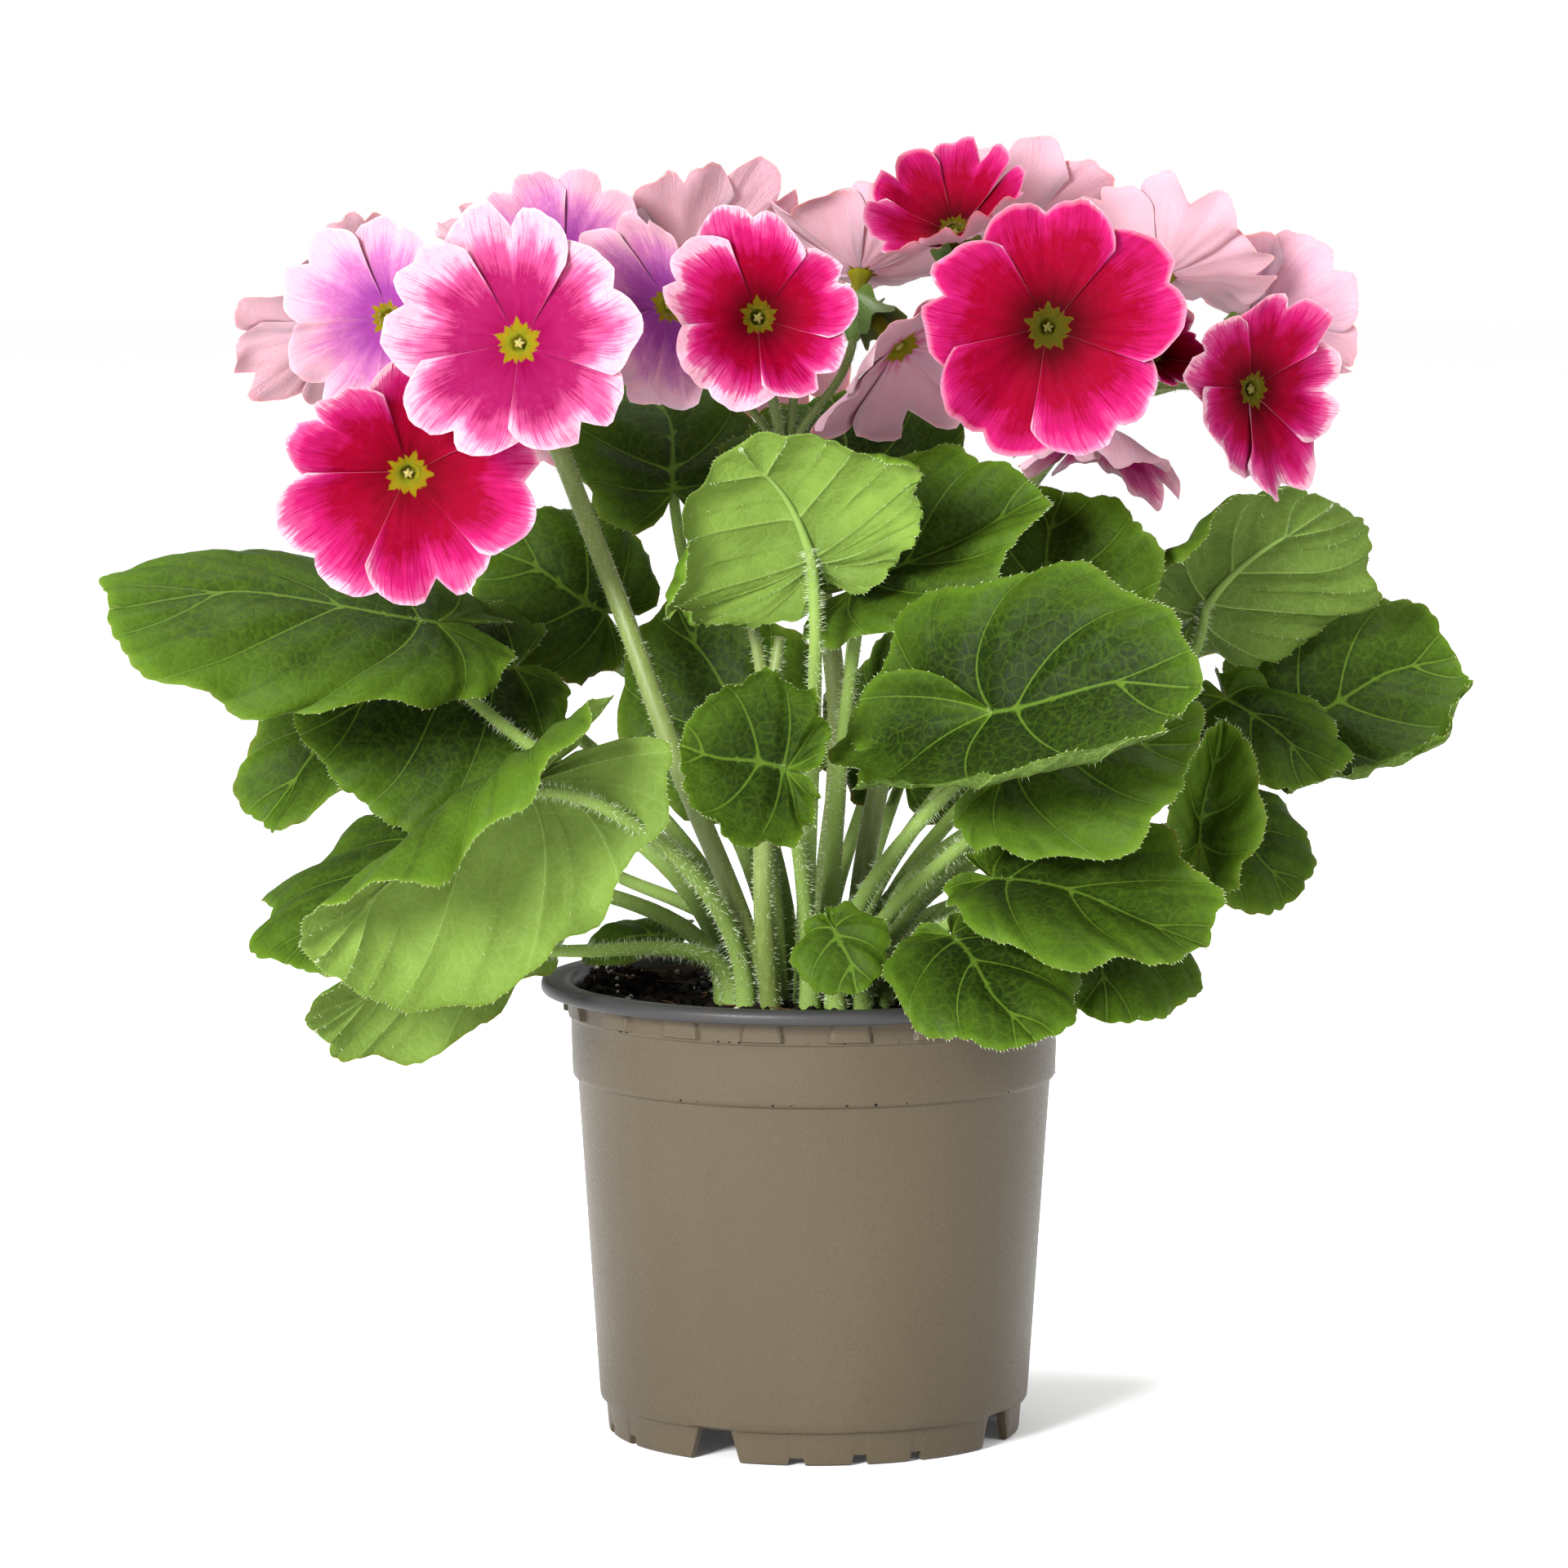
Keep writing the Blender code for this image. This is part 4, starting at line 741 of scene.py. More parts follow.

    # What the finish reads, and the sheet itself, which thins out to its edge and has ribs below.
    # edge is the distance to the margin; the finish lightens the blade towards it, partly in its own colour and
    # partly as painted light.
    edge = (1 - near) * np.hypot(out_along - foot, out_across)
    # heart is 1 by the stalk and falls off outwards; the finish darkens the blade there, partly in its own colour and
    # partly as painted shade.
    heart = np.exp(-(along ** 2 + sideways ** 2) / (0.42 * blade.length) ** 2)
    cap = np.sqrt(clamp(np.minimum(edge / 0.5, row * spacing / 0.5)))
    cap[-1] = 0
    ridge = np.exp(-vein ** 2) * (0.75 - 0.5 * near)
    place = np.stack([along, sideways, np.full_like(along + sideways, seed * 37.0)], axis=-1)
    shell(skin, points, normals, HALF_THICKNESS * cap, (HALF_THICKNESS + ridge) * cap,
          vein=np.clip(vein, 0, 4).ravel(), edge=np.minimum(edge, row * spacing).ravel(), tone=spec["tone"],
          place=place, heart=heart.ravel())
    return points, normals, vein, near + 0 * row


def leaf_hairs(skin, points, normals, vein, near, share, length, rng):
    """Hairs under the veins of a blade, and bristles along its margin, at random points of its grid."""
    rows, cols = points.shape[:2]
    i, j = np.nonzero((vein < 0.8) & (near < 0.9))
    pick = rng.random(len(i)) < 0.5 * share
    i, j = i[pick], j[pick]
    if len(i):
        direction = -normals[i, j] + rng.normal(0, 0.45, (len(i), 3))
        lengths = 0.75 * length * rng.uniform(0.5, 1.2, len(i))
        spikes(skin, points[i, j] - 0.55 * normals[i, j], direction, lengths, 0.05, hair=1.0)
    rim = np.concatenate([np.stack([np.arange(1, rows - 1), np.full(rows - 2, j)], 1) for j in (0, cols - 1)])
    inner = np.where(rim[:, 1] == 0, 1, cols - 2)
    base = points[rim[:, 0], rim[:, 1]]
    out = unit(base - points[rim[:, 0], inner])
    out = out + rng.normal(0, 0.25, out.shape)
    spikes(skin, base, out, 0.75 * rng.uniform(0.4, 1.2, len(base)), 0.1, hair=0.6)


def petiole_route(blade, spec, points, normals):
    """Points and radii of a leaf's stalk: from the soil a cubic curve up to the blade, then on along the underside of
    its midrib, ever thinner, one radius below the middle column of the blade's grid."""
    angle, distance = math.radians(spec["root"][0]), spec["root"][1]
    root = (distance * math.cos(angle), distance * math.sin(angle))
    start = np.array([*root, SOIL_LEVEL - ROOT_DEPTH])
    lead = np.array([*root, SOIL_LEVEL + ROOT_LEAD])
    column = points.shape[1] // 2
    line, facing = points[:, column], normals[:, column]
    run = np.concatenate([[0], np.cumsum(np.linalg.norm(np.diff(line, axis=0), axis=1))])
    shares = np.linspace(0.05, 0.8, 16) * blade.length
    middle = np.stack([np.interp(shares, run, line[:, k]) for k in range(3)], axis=1)
    normal = unit(np.stack([np.interp(shares, run, facing[:, k]) for k in range(3)], axis=1))
    depth = np.linspace(1.15, 0.35, 16)[:, None]
    rib = middle - depth * normal
    handle = 0.35 * np.linalg.norm(rib[0] - lead)
    arrive = -unit(0.55 * blade.forward + 0.8 * blade.normal)
    curve = bezier(lead, lead + np.array([0, 0, handle]), rib[0] + handle * arrive, rib[0], STALK_POINTS)
    swelling = 0.35 * np.exp(-np.arange(STALK_POINTS) / 3.0)
    radii = np.concatenate([[2.3], np.linspace(2.1, 1.15, STALK_POINTS) + swelling, np.linspace(1.1, 0.25, 15)])
    return np.concatenate([start[None], curve, rib[1:]]), radii


def leaf(spec, index, settings, finish):
    """One leaf with its stalk, hairs and bristles."""
    rng = np.random.default_rng(100 + index)
    node = "leaf_" + spec["name"]
    blade = Blade(spec)
    far = spec["name"].startswith(FAR_LEAVES)
    step, sides = (FAR_STEP, 8) if far else (NEAR_STEP, 12)
    share = settings.hairiness * (0.4 if far else 1.0)
    length = settings.hair_length / MM
    bulge = settings.quilting / MM * (1.6 if spec["name"] == "right_quilted" else 1.0)
    skin = Skin()
    grid = leaf_blade(skin, blade, spec, step, bulge, index + 1, rng)
    leaf_hairs(skin, *grid, share, length, rng)
    path, radii = petiole_route(blade, spec, grid[0], grid[1])
    along = np.repeat(np.linspace(0, 1, len(path) + 2), sides)
    rings, outward = tube(skin, path, radii, sides, stalk=1.0, tone=spec["tone"], vein=along,
                          place=(0.0, 0.0, index * 37.0))
    bare = np.linalg.norm(np.diff(path[:STALK_POINTS + 1], axis=0), axis=1).sum()
    fuzz(skin, rings[1:STALK_POINTS + 2], outward[1:STALK_POINTS + 2], int(bare * LEAF_HAIRS * share), length, rng)
    finished(skin, node, finish, 75)


def leaf_finish(settings):
    """Leaf green: quilted, darker in the heart and lighter towards the margin, partly in its own colour and partly
    as painted light and shade, with painted shade beside the veins, pale veins and a fine net of them; grey-green
    below.
    """
    finish = Finish("primrose_leaf", Specular_IOR_Level=0.05, Subsurface_Weight=0.08, Subsurface_Scale=0.001)
    smooth, times = finish.smooth, finish.times
    place = finish.attribute("place", "Vector")
    upper, vein, edge, tone, stalk, hair, heart = (
        finish.attribute(name) for name in ("upper", "vein", "edge", "tone", "stalk", "hair", "heart"))
    patches = finish.noise(place, 0.07, 3.0, 0.6)
    speckle = finish.noise(place, 0.9)
    cells = finish.network(place, 0.34)
    fine_cells = finish.network(place, 0.85)
    lines = smooth(cells, 0.0, 0.1, 1.0, 0.0)
    fine_lines = smooth(fine_cells, 0.0, 0.12, 1.0, 0.0)
    main = smooth(vein, 0.15, 1.0, 1.0, 0.0)
    green = finish.coats(
        finish.mix(tone, settings.dark_green, settings.light_green),
        (smooth(patches, 0.35, 0.7, 0.0, 0.5), settings.dark_green),
        (smooth(speckle, 0.3, 0.8, 0.0, 0.16), settings.margin_green),
        # Darker in the heart: partly the leaf's own colour, partly painted shade near the stalk.
        (times(heart, 0.65), settings.dark_green),
        # Lighter towards the margin: partly the leaf's own colour, partly painted light.
        (smooth(edge, 1.0, 15.0, 0.5, 0.0), settings.light_green),
        # Painted shade: darker beside the veins, where the blade sinks into its valleys.
        (smooth(vein, 0.8, 3.4, 0.3, 0.0), settings.dark_green),
        (times(lines, 0.1), settings.margin_green),
        # A pale rim at the very margin: partly the leaf's own colour, partly painted highlight.
        (smooth(edge, 0.0, 3.0, 0.35, 0.0), settings.margin_green),
        (times(main, 0.45), settings.vein_green))
    below = finish.coats(
        finish.mix(tone, settings.under_dark, settings.under_light),
        (smooth(patches, 0.3, 0.7, 0.0, 0.3), settings.under_dark),
        # Darker in the heart below too: partly the leaf's own colour, partly painted shade near the stalk.
        (times(heart, 0.4), settings.under_dark),
        (times(lines, 0.16), settings.stalk_green),
        (times(fine_lines, 0.12), settings.stalk_green),
        (times(main, 0.7), settings.stalk_green))
    stem = finish.mix(smooth(speckle, 0.3, 0.7, 0.0, 0.3), settings.stalk_green, settings.under_light)
    colour = finish.coats(finish.mix(upper, below, green), (stalk, stem), (hair, settings.hair_white))
    relief = finish.plus(times(smooth(cells, 0.0, 0.25), 0.8), times(smooth(fine_cells, 0.0, 0.25), 0.35))
    relief = finish.plus(relief, times(speckle, 0.5))
    return finish.shade(colour, relief, 0.2, 0.0004, smooth(speckle, 0.2, 0.8, 0.46, 0.62))


# Blooms

def bloom_specs():
    """Every bloom's row by the names of its values."""
    return [dict(zip(BLOOM_KEYS, row)) for row in BLOOMS]


def bloom_axes(spec):
    """The way a bloom faces, and two directions square to it, turned by its spin."""
    facing = unit(spec["facing"])
    up = beside(facing)
    across = np.cross(up, facing)
    spin = math.radians(spec["spin"])
    return facing, math.cos(spin) * up + math.sin(spin) * across, math.cos(spin) * across - math.sin(spin) * up


def petal(skin, spec, axes, index, thickness, rng):
    """One heart-shaped petal. Its margin lies at the radius × (1 - a notch in the middle - a rounding of s⁴), s
    from -1 to 1 across it. The surface bends to an arc outwards, leans over its neighbour by s, and sinks along the
    middle. How far it cups and waves depends on the turn round the eye alone, so all five lie on one wavy disc."""
    facing, up, across = axes
    rows, cols = PETAL_GRID
    radius = spec["radius"] * (spec["fuller"] + rng.uniform(-0.08, 0.06))
    t = np.linspace(0, 1, rows + 1)[:, None] ** 1.15
    s = np.sin(np.linspace(-1, 1, cols + 1) * math.pi / 2)[None, :]
    depth = rng.uniform(*PETAL_NOTCH)
    edge_noise = drift(np.stack([s * 4, 0 * s, 0 * s + index * 9.7 + spec["radius"]], -1), 1, 11)
    crimps = 0.012 * np.abs(np.sin(11 * s + index)) + 0.035 * edge_noise
    outline = 1 - depth * np.exp(-(s / NOTCH_WIDTH) ** 2) - PETAL_ROUNDING * s ** 4 + crimps
    inner = EYE_HOLE / radius
    share = inner + (outline - inner) * t
    angle = math.pi / PETALS * s * np.interp(share, *PETAL_SPREAD) * rng.uniform(0.92, 1.08)
    angle = angle + math.radians(rng.uniform(-6, 6))
    turn = 2 * math.pi * index / PETALS + angle
    number = int(spec["radius"] * 10 + 7 * abs(spec["eye"][0])) % 97
    sway = np.cos(turn + number) + np.cos(2 * turn + 2.3 * number)
    first = math.radians(spec["cup"][0]) + math.radians(3.5) * sway
    further = math.radians(spec["cup"][1]) + math.radians(9) * np.cos(3 * turn + number) + math.radians(5) * sway
    bend = np.where(np.abs(further) > 1e-3, further, 1e-3) / radius
    run = np.sin(bend * radius * share) / bend
    rise = (1 - np.cos(bend * radius * share)) / bend
    lift = (0.28 + 0.75 * t ** 1.5) * s * clamp(t * 4)
    lift = lift - 0.9 * np.exp(-(s / 0.2) ** 2) * t ** 1.5 - 0.6 * t * np.cos(math.pi * s)
    disc = share[..., None] * np.stack([np.cos(turn), np.sin(turn), 0 * turn], -1) + number
    waves = 3.4 * drift(disc, 0.55, number) * t ** 1.3 + 1.7 * drift(disc, 0.24, number + 5) * t ** 2.5
    lift = lift + waves + 0.7 * np.sin(13 * turn + number) * t ** 5
    lift = lift + 0.2 * np.sin(s * 19 + 2.5 * t + 3 * edge_noise) * clamp(2 * t)
    out = np.cos(first) * run - np.sin(first) * rise
    ahead = np.sin(first) * run + np.cos(first) * rise + lift
    direction = np.cos(turn)[..., None] * up + np.sin(turn)[..., None] * across
    points = np.asarray(spec["eye"], float) + out[..., None] * direction + ahead[..., None] * facing
    normals = -grid_normals(points, -facing)
    half = 0.5 * thickness * np.sqrt(clamp(np.minimum((1 - t) * 12, (1 - np.abs(s)) * 8))) * (t > 0)
    half = half + 0 * s
    radial = share * spec["radius"]
    scale = spec["radius"] / 27
    star = 3.5 + 1.7 * clamp(1 - np.abs(s) / 0.34) + 0.9 * clamp(1 - np.abs(np.abs(s) - 0.66) / 0.3)
    place = np.stack([s * 5 + index * 17 + 0 * t, radial * 0.11, 0 * s * t + number], -1)
    shift = spec["fade"] + rng.uniform(-0.1, 0.1)
    sides = 0.13 * np.abs(s) ** 12
    # Painted shade: how far the petal is darkened near the eye of a deep bloom.
    deep = spec["deep"] * clamp(1.6 * np.exp(-(share / 0.27) ** 2))
    shell(skin, points, normals, half, half, reach=((1 + shift + sides) * t).ravel(),
          eye=(star * scale - radial).ravel(), deep=deep.ravel(), place=place)


def bloom(spec, index, settings, finish):
    """One bloom: five petals laid over each other round a yellow eye, its throat and the knob of its anthers, whose
    rings are pushed up by high × cos 3a and out by wide × cos 5a."""
    rng = np.random.default_rng(500 + index)
    axes = bloom_axes(spec)
    skin = Skin()
    for i in range(PETALS):
        petal(skin, spec, axes, i, settings.thickness / MM, rng)

    def lobed(high, wide, start):
        return lambda row, turn: (high * np.cos(3 * turn + start) + 0 * row,
                                  wide * np.cos(5 * turn + start) + 0 * row)

    depth = np.repeat([height for height, _ in THROAT_PROFILE], EYE_SIDES)
    # deep carries the painted shade that darkens the throat and anthers of a deep bloom.
    revolved(skin, THROAT_PROFILE, EYE_SIDES, spec["eye"], axes[0], lobed(0.0, 0.12, 0), throat=1.0, reach=0.0,
             eye=depth, deep=spec["deep"], place=(index * 3.0, 0, 0))
    revolved(skin, ANTHER_PROFILE, EYE_SIDES, spec["eye"], axes[0], lobed(0.12, 0.28, index), anther=1.0, throat=1.0,
             deep=0.9 * spec["deep"])
    finished(skin, "bloom_" + spec["name"], finish, 60)


def petal_finish(name, stops, settings):
    """A petal: colour from the eye to the margin in streaks, a green and yellow star round the throat, a paler back,
    and painted shade round the eye of a deep bloom.
    stops are the places and colours of its ramp."""
    finish = Finish(name, Roughness=0.6, Specular_IOR_Level=0.02, Subsurface_Weight=0.4, Subsurface_Scale=0.0015)
    smooth, times, plus, noise = finish.smooth, finish.times, finish.plus, finish.noise
    place = finish.attribute("place", "Vector")
    reach, eye, upper, throat, anther, deep = (
        finish.attribute(name) for name in ("reach", "eye", "upper", "throat", "anther", "deep"))
    streaks = noise(finish.stretched(place, 4.2, 1.0, 1.0), 1.0, 3.0, 0.6)
    clouds = noise(finish.stretched(place, 0.5, 1.3, 1.0), 1.0)
    threads = noise(finish.stretched(place, 11.0, 0.8, 1.0), 1.0)
    shifted = plus(reach, finish.about_middle(streaks, 0.28))
    shifted = plus(shifted, finish.about_middle(clouds, 0.4))
    shifted = finish.math("SUBTRACT", shifted, smooth(threads, 0.48, 0.72, 0.0, 0.13))
    mottles = smooth(noise(finish.place(), 650.0, 3.0, 0.7), 0.46, 0.74, 0.0, 0.34)
    face = finish.coats(
        finish.ramp(shifted, stops),
        (smooth(threads, 0.45, 0.75, 0.0, 0.16), stops[0][1]),
        (times(smooth(reach, 0.15, 0.75), mottles), stops[3][1]),
        # Painted shade: the petal darkened near the eye of a deep bloom.
        (times(deep, 0.85), [0.25 * v for v in settings.crimson_core]))
    back = finish.coats(face, (0.7, settings.back_white), (smooth(threads, 0.5, 0.8, 0.0, 0.25), stops[1][1]))
    jagged = plus(eye, finish.about_middle(streaks, 1.6))
    star = times(smooth(jagged, -0.25, 0.25), finish.math("MAXIMUM", upper, smooth(eye, 0.9, 1.3)))
    colour = finish.coats(
        finish.mix(upper, back, face),
        (star, finish.mix(smooth(jagged, 0.3, 2.2), settings.eye_yellow, settings.eye_green)),
        (throat, finish.mix(smooth(eye, -1.5, 0.3), settings.eye_dark, settings.eye_green)),
        (anther, settings.anther_cream),
        # Painted shade: the throat, anthers and star darkened in a deep bloom.
        (times(times(deep, finish.math("MAXIMUM", throat, star)), 0.9), [0.2 * v for v in settings.eye_dark]))
    crinkle = times(noise(finish.place(), 900.0, 3.0, 0.6), 1.2)
    return finish.shade(colour, plus(plus(threads, times(streaks, 0.8)), crinkle), 0.4, 0.0003)


# Flower stalks

def calyx(skin, spec, facing, rng):
    """The green cup behind a bloom: a turned bell whose mouth has five shallow lobes, cos 5a high, and a belt of
    hairs."""
    phase = rng.uniform(0, 2 * math.pi)

    def lobes(row, turn):
        w = CALYX_LOBES[row]
        wave = np.cos(5 * turn + phase)
        ribs = 0.1 * np.cos(10 * turn + 2 * phase) * (row < 9)
        return w * 1.3 * wave, w * 0.45 * wave + ribs

    revolved(skin, CALYX_PROFILE, 30, spec["eye"], facing, lobes, cup=1.0)
    turn = rng.uniform(0, 2 * math.pi, CUP_HAIRS)
    back = rng.uniform(7.0, 16.0, CUP_HAIRS)
    radius = np.interp(back, [6.1, 8.2, 11.6, 15.0, 16.2], [5.5, 4.3, 3.0, 1.7, 1.1])
    side = beside(facing)
    ring = np.cos(turn)[:, None] * side + np.sin(turn)[:, None] * np.cross(facing, side)
    base = np.asarray(spec["eye"], float) - back[:, None] * facing + radius[:, None] * ring
    spikes(skin, base, ring - 0.2 * facing + rng.normal(0, 0.2, ring.shape), rng.uniform(0.4, 0.8, CUP_HAIRS),
           0.045, hair=1.0)


def bract(skin, base, direction, length, width, bend):
    """A small pointed leaf at the head of a stalk: its width swells and ends by sin(πv)^0.8 and it bends outwards."""
    direction = unit(direction)
    side = unit(np.cross(direction, (0, 0, 1)) + 1e-6)
    normal = np.cross(side, direction)
    v = np.linspace(0, 1, 11)[:, None]
    s = np.linspace(-1, 1, 7)[None, :]
    half = 0.5 * width * np.sin(math.pi * clamp(v * 0.88 + 0.12)) ** 0.8
    rate = math.radians(bend)
    along = np.sin(rate * v) / rate * length
    rise = -(1 - np.cos(rate * v)) / rate * length + 0.3 * width * s ** 2 * np.sin(math.pi * v)
    points = base + along[..., None] * direction + (half * s)[..., None] * side + rise[..., None] * normal
    normals = grid_normals(points, normal)
    cap = 0.22 * np.sqrt(clamp((1 - np.abs(s)) * 4)) * (v > 0) * (v < 1) + 0 * v
    shell(skin, points, normals, cap, cap, cup=1.0)


def flower_stalk(side, spec, blooms, index, settings, finish):
    """One flower stalk: a tapering stem, the bracts at its head, and a thin stalk with a green cup to each bloom."""
    rng = np.random.default_rng(900 + index)
    skin = Skin()
    root = spec["route"][0]
    route = [(*root, SOIL_LEVEL - ROOT_DEPTH), (*root, SOIL_LEVEL + ROOT_LEAD), *spec["route"][1:]]
    path = smooth_path(route, 70)
    radii = np.linspace(*spec["radii"], 70) + 0.5 * np.exp(-np.arange(70) / 4.0) - 0.1
    radii[-8:] += np.linspace(0, 0.7, 8) ** 2
    rings, outward = tube(skin, path, radii, 16)
    length = np.linalg.norm(np.diff(path, axis=0), axis=1).sum()
    fuzz(skin, rings[2:], outward[2:], int(length * STALK_HAIRS * settings.hairiness), 0.9, rng, 0.05)
    head = path[-1] - 1.5 * unit(path[-1] - path[-4])
    for bloom_spec in blooms:
        facing = unit(bloom_spec["facing"])
        foot = np.asarray(bloom_spec["eye"], float) - CUP_FOOT * facing
        reach = np.linalg.norm(foot - head)
        leave = unit(np.array([0, 0, 1.0]) + 0.6 * unit(foot - head))
        arrive = max(0.35 * reach, 14.0)
        curve = bezier(head, head + 0.4 * reach * leave, foot - arrive * facing, foot + 0.4 * facing, 24)
        thickness = 0.95 + 0.35 * np.exp(-np.arange(24) / 2.5)
        rings, outward = tube(skin, curve, thickness, 10)
        fuzz(skin, rings[1:], outward[1:], int(reach * STALKLET_HAIRS * settings.hairiness), 1.0, rng, 0.045)
        calyx(skin, bloom_spec, facing, rng)
    for end in spec.get("stubs", ()):
        curve = smooth_path([head, (head + np.asarray(end)) / 2 + (0.6, 0, 0), end], 14)
        rings, outward = tube(skin, curve, np.linspace(1.6, 1.2, 14), 10)
        fuzz(skin, rings[1:], outward[1:], int(150 * settings.hairiness), 1.1, rng, 0.05)
    bracts = 7 if blooms else 3
    for i in range(bracts):
        turn = 2 * math.pi * (i + rng.uniform(-0.2, 0.2)) / bracts
        direction = (math.cos(turn), math.sin(turn), rng.uniform(0.5, 1.3))
        base = head + 1.2 * np.array([math.cos(turn), math.sin(turn), 0])
        bract(skin, base, direction, rng.uniform(5, 10), rng.uniform(1.6, 2.6), rng.uniform(30, 90))
    finished(skin, "stalk_" + side, finish, 70)


def stalk_finish(settings):
    """Pale olive green stalks with fine lines along them, fresher green cups, and white hairs."""
    finish = Finish("primrose_stalk", Roughness=0.5, Specular_IOR_Level=0.4, Subsurface_Weight=0.1,
                    Subsurface_Scale=0.001)
    patches = finish.smooth(finish.noise(finish.place(), 60.0, 3.0), 0.3, 0.7)
    lines = finish.noise(finish.stretched(finish.place(), 900.0, 900.0, 60.0), 1.0)
    stem = finish.coats(finish.mix(patches, settings.stalk_green, settings.stalk_olive),
                        (finish.smooth(lines, 0.4, 0.7, 0.0, 0.3), settings.stalk_pale))
    green_cup = finish.mix(patches, settings.cup_green, settings.cup_dark)
    colour = finish.coats(stem, (finish.attribute("cup"), green_cup), (finish.attribute("hair"), settings.hair_white))
    return finish.shade(colour, lines, 0.3, 0.0002)


# Pot and soil

def notch_height(turn):
    """How high the foot is cut away at each turn round the pot: the tallest of its notches' trapezoids."""
    degrees = np.degrees(turn)
    height = np.zeros_like(degrees)
    for place, half_width, half_top, top in FOOT_NOTCHES:
        off = np.abs(np.radians((degrees - place + 180) % 360 - 180)) * FOOT_RADIUS
        height = np.maximum(height, top * clamp((half_width - off) / (half_width - half_top)))
    return height


def pot_turns():
    """Turns of the pot's grid: even steps of 1.25°, and the edges of every notch and pad."""
    turns = list(np.arange(0, 360, 1.25))
    for place, half_width, half_top, _ in FOOT_NOTCHES:
        turns += [place + math.degrees(off / FOOT_RADIUS) for off in (-half_width, -half_top, half_top, half_width)]
    for pad in range(PADS):
        turns += [PAD_STEP * pad + PAD_START + side * edge for side in (-1, 1) for edge in (3.6, 4.3, 4.8, 5.2)]
    turns = np.sort(np.mod(turns, 360))
    return np.radians(turns[np.concatenate([[True], np.diff(turns) > 0.08])])


# The wall of the pot: radius and height, from the foot pad round the outside and over the rim to the floor inside.
POT_PROFILE = (
    (0, 0), (11.4, 0), (12.0, 0.5), (12.9, 7.1), (13.5, 7.6), (30, 7.6), (43.8, 7.6), (43.75, 7.0), (43.6, 3.5),
    (43.4, 0.4), (43.8, 0.0), (44.9, 0.0), (45.3, 0.35), (45.5, 2.5), (45.7, 4.8), (45.85, 6.3), (46.05, 6.85),
    (46.9, 7.35), (47.15, 7.8), (47.3, 9.5), (48.5, 27), (49.7, 45), (50.9, 63), (51.9, 77.6), (52.05, 78.4),
    (52.7, 78.85), (53.0, 79.2), (53.1, 80.0), (53.3, 86), (53.4, 89.8), (53.5, 91.8), (53.55, 92.05),
    (53.9, 92.25), (54.05, 92.5), (54.1, 92.85), (54.1, 93.1), (54.2, 94.8), (54.35, 96.4), (54.4, 96.9),
    (54.5, 97.2), (55.4, 97.3), (58.9, 97.3), (59.5, 97.45), (59.9, 97.9), (60.0, 98.5), (60.0, 99.1),
    (59.85, 99.7), (59.4, 100.1), (58.8, 100.3), (55.6, 100.3), (54.7, 100.2), (53.6, 99.7), (52.7, 98.8),
    (52.2, 97.6), (51.9, 95.5), (51.0, 83), (48.5, 48), (45.95, 10.2), (45.3, 9.2), (30, 9.2), (0, 9.2),
)


def pot_skin():
    """The pot as a turned wall: its foot is squeezed upwards over each notch, and shallow pads stand on the band
    below the rim wherever the nearest of their turns is less than about 5° away, a little less towards the top."""
    skin = Skin()
    turn = pot_turns()[None, :]
    profile = np.array(POT_PROFILE, float)
    radius, height = profile[:, :1] + 0 * turn, profile[:, 1:] + 0 * turn
    cut = notch_height(turn)
    foot = (radius > 43.2) & (height < SKIRT_TOP)
    height = np.where(foot, cut + height * (1 - cut / SKIRT_TOP), height)
    apart = np.abs((np.degrees(turn) - PAD_START + PAD_STEP / 2) % PAD_STEP - PAD_STEP / 2)
    band = (radius > 53.9) & (radius < 54.7) & (height > 93.0) & (height < 97.25)
    pad = clamp((5.2 - 0.22 * (height - 93) - apart) / 0.5)
    radius = radius + 0.95 * pad * band
    points = round_pot(radius, turn, height)
    skin.add(points, grid_faces(*points.shape[:2], closed=True))
    return skin


def cut_drains(obj):
    """Four round holes through the floor of the pot, cut by one Boolean of four closed tubes."""
    drains = Skin()
    for quarter in range(4):
        angle = math.radians(NOTCH_START + 90 * quarter)
        x, y = DRAIN_PLACE * math.cos(angle), DRAIN_PLACE * math.sin(angle)
        tube(drains, [(x, y, z) for z in (6, 8.4, 11)], [DRAIN_RADIUS] * 3, 24)
    cutter = bpy.data.objects.new("drains", drains.mesh("drains"))
    bpy.context.scene.collection.objects.link(cutter)
    cut = obj.modifiers.new("drains", "BOOLEAN")
    cut.operation = "DIFFERENCE"
    cut.object = cutter
    cut.solver = "EXACT"
    mesh = bpy.data.meshes.new_from_object(obj.evaluated_get(bpy.context.evaluated_depsgraph_get()))
    obj.modifiers.clear()
    obj.data = mesh
    bpy.data.objects.remove(cutter)


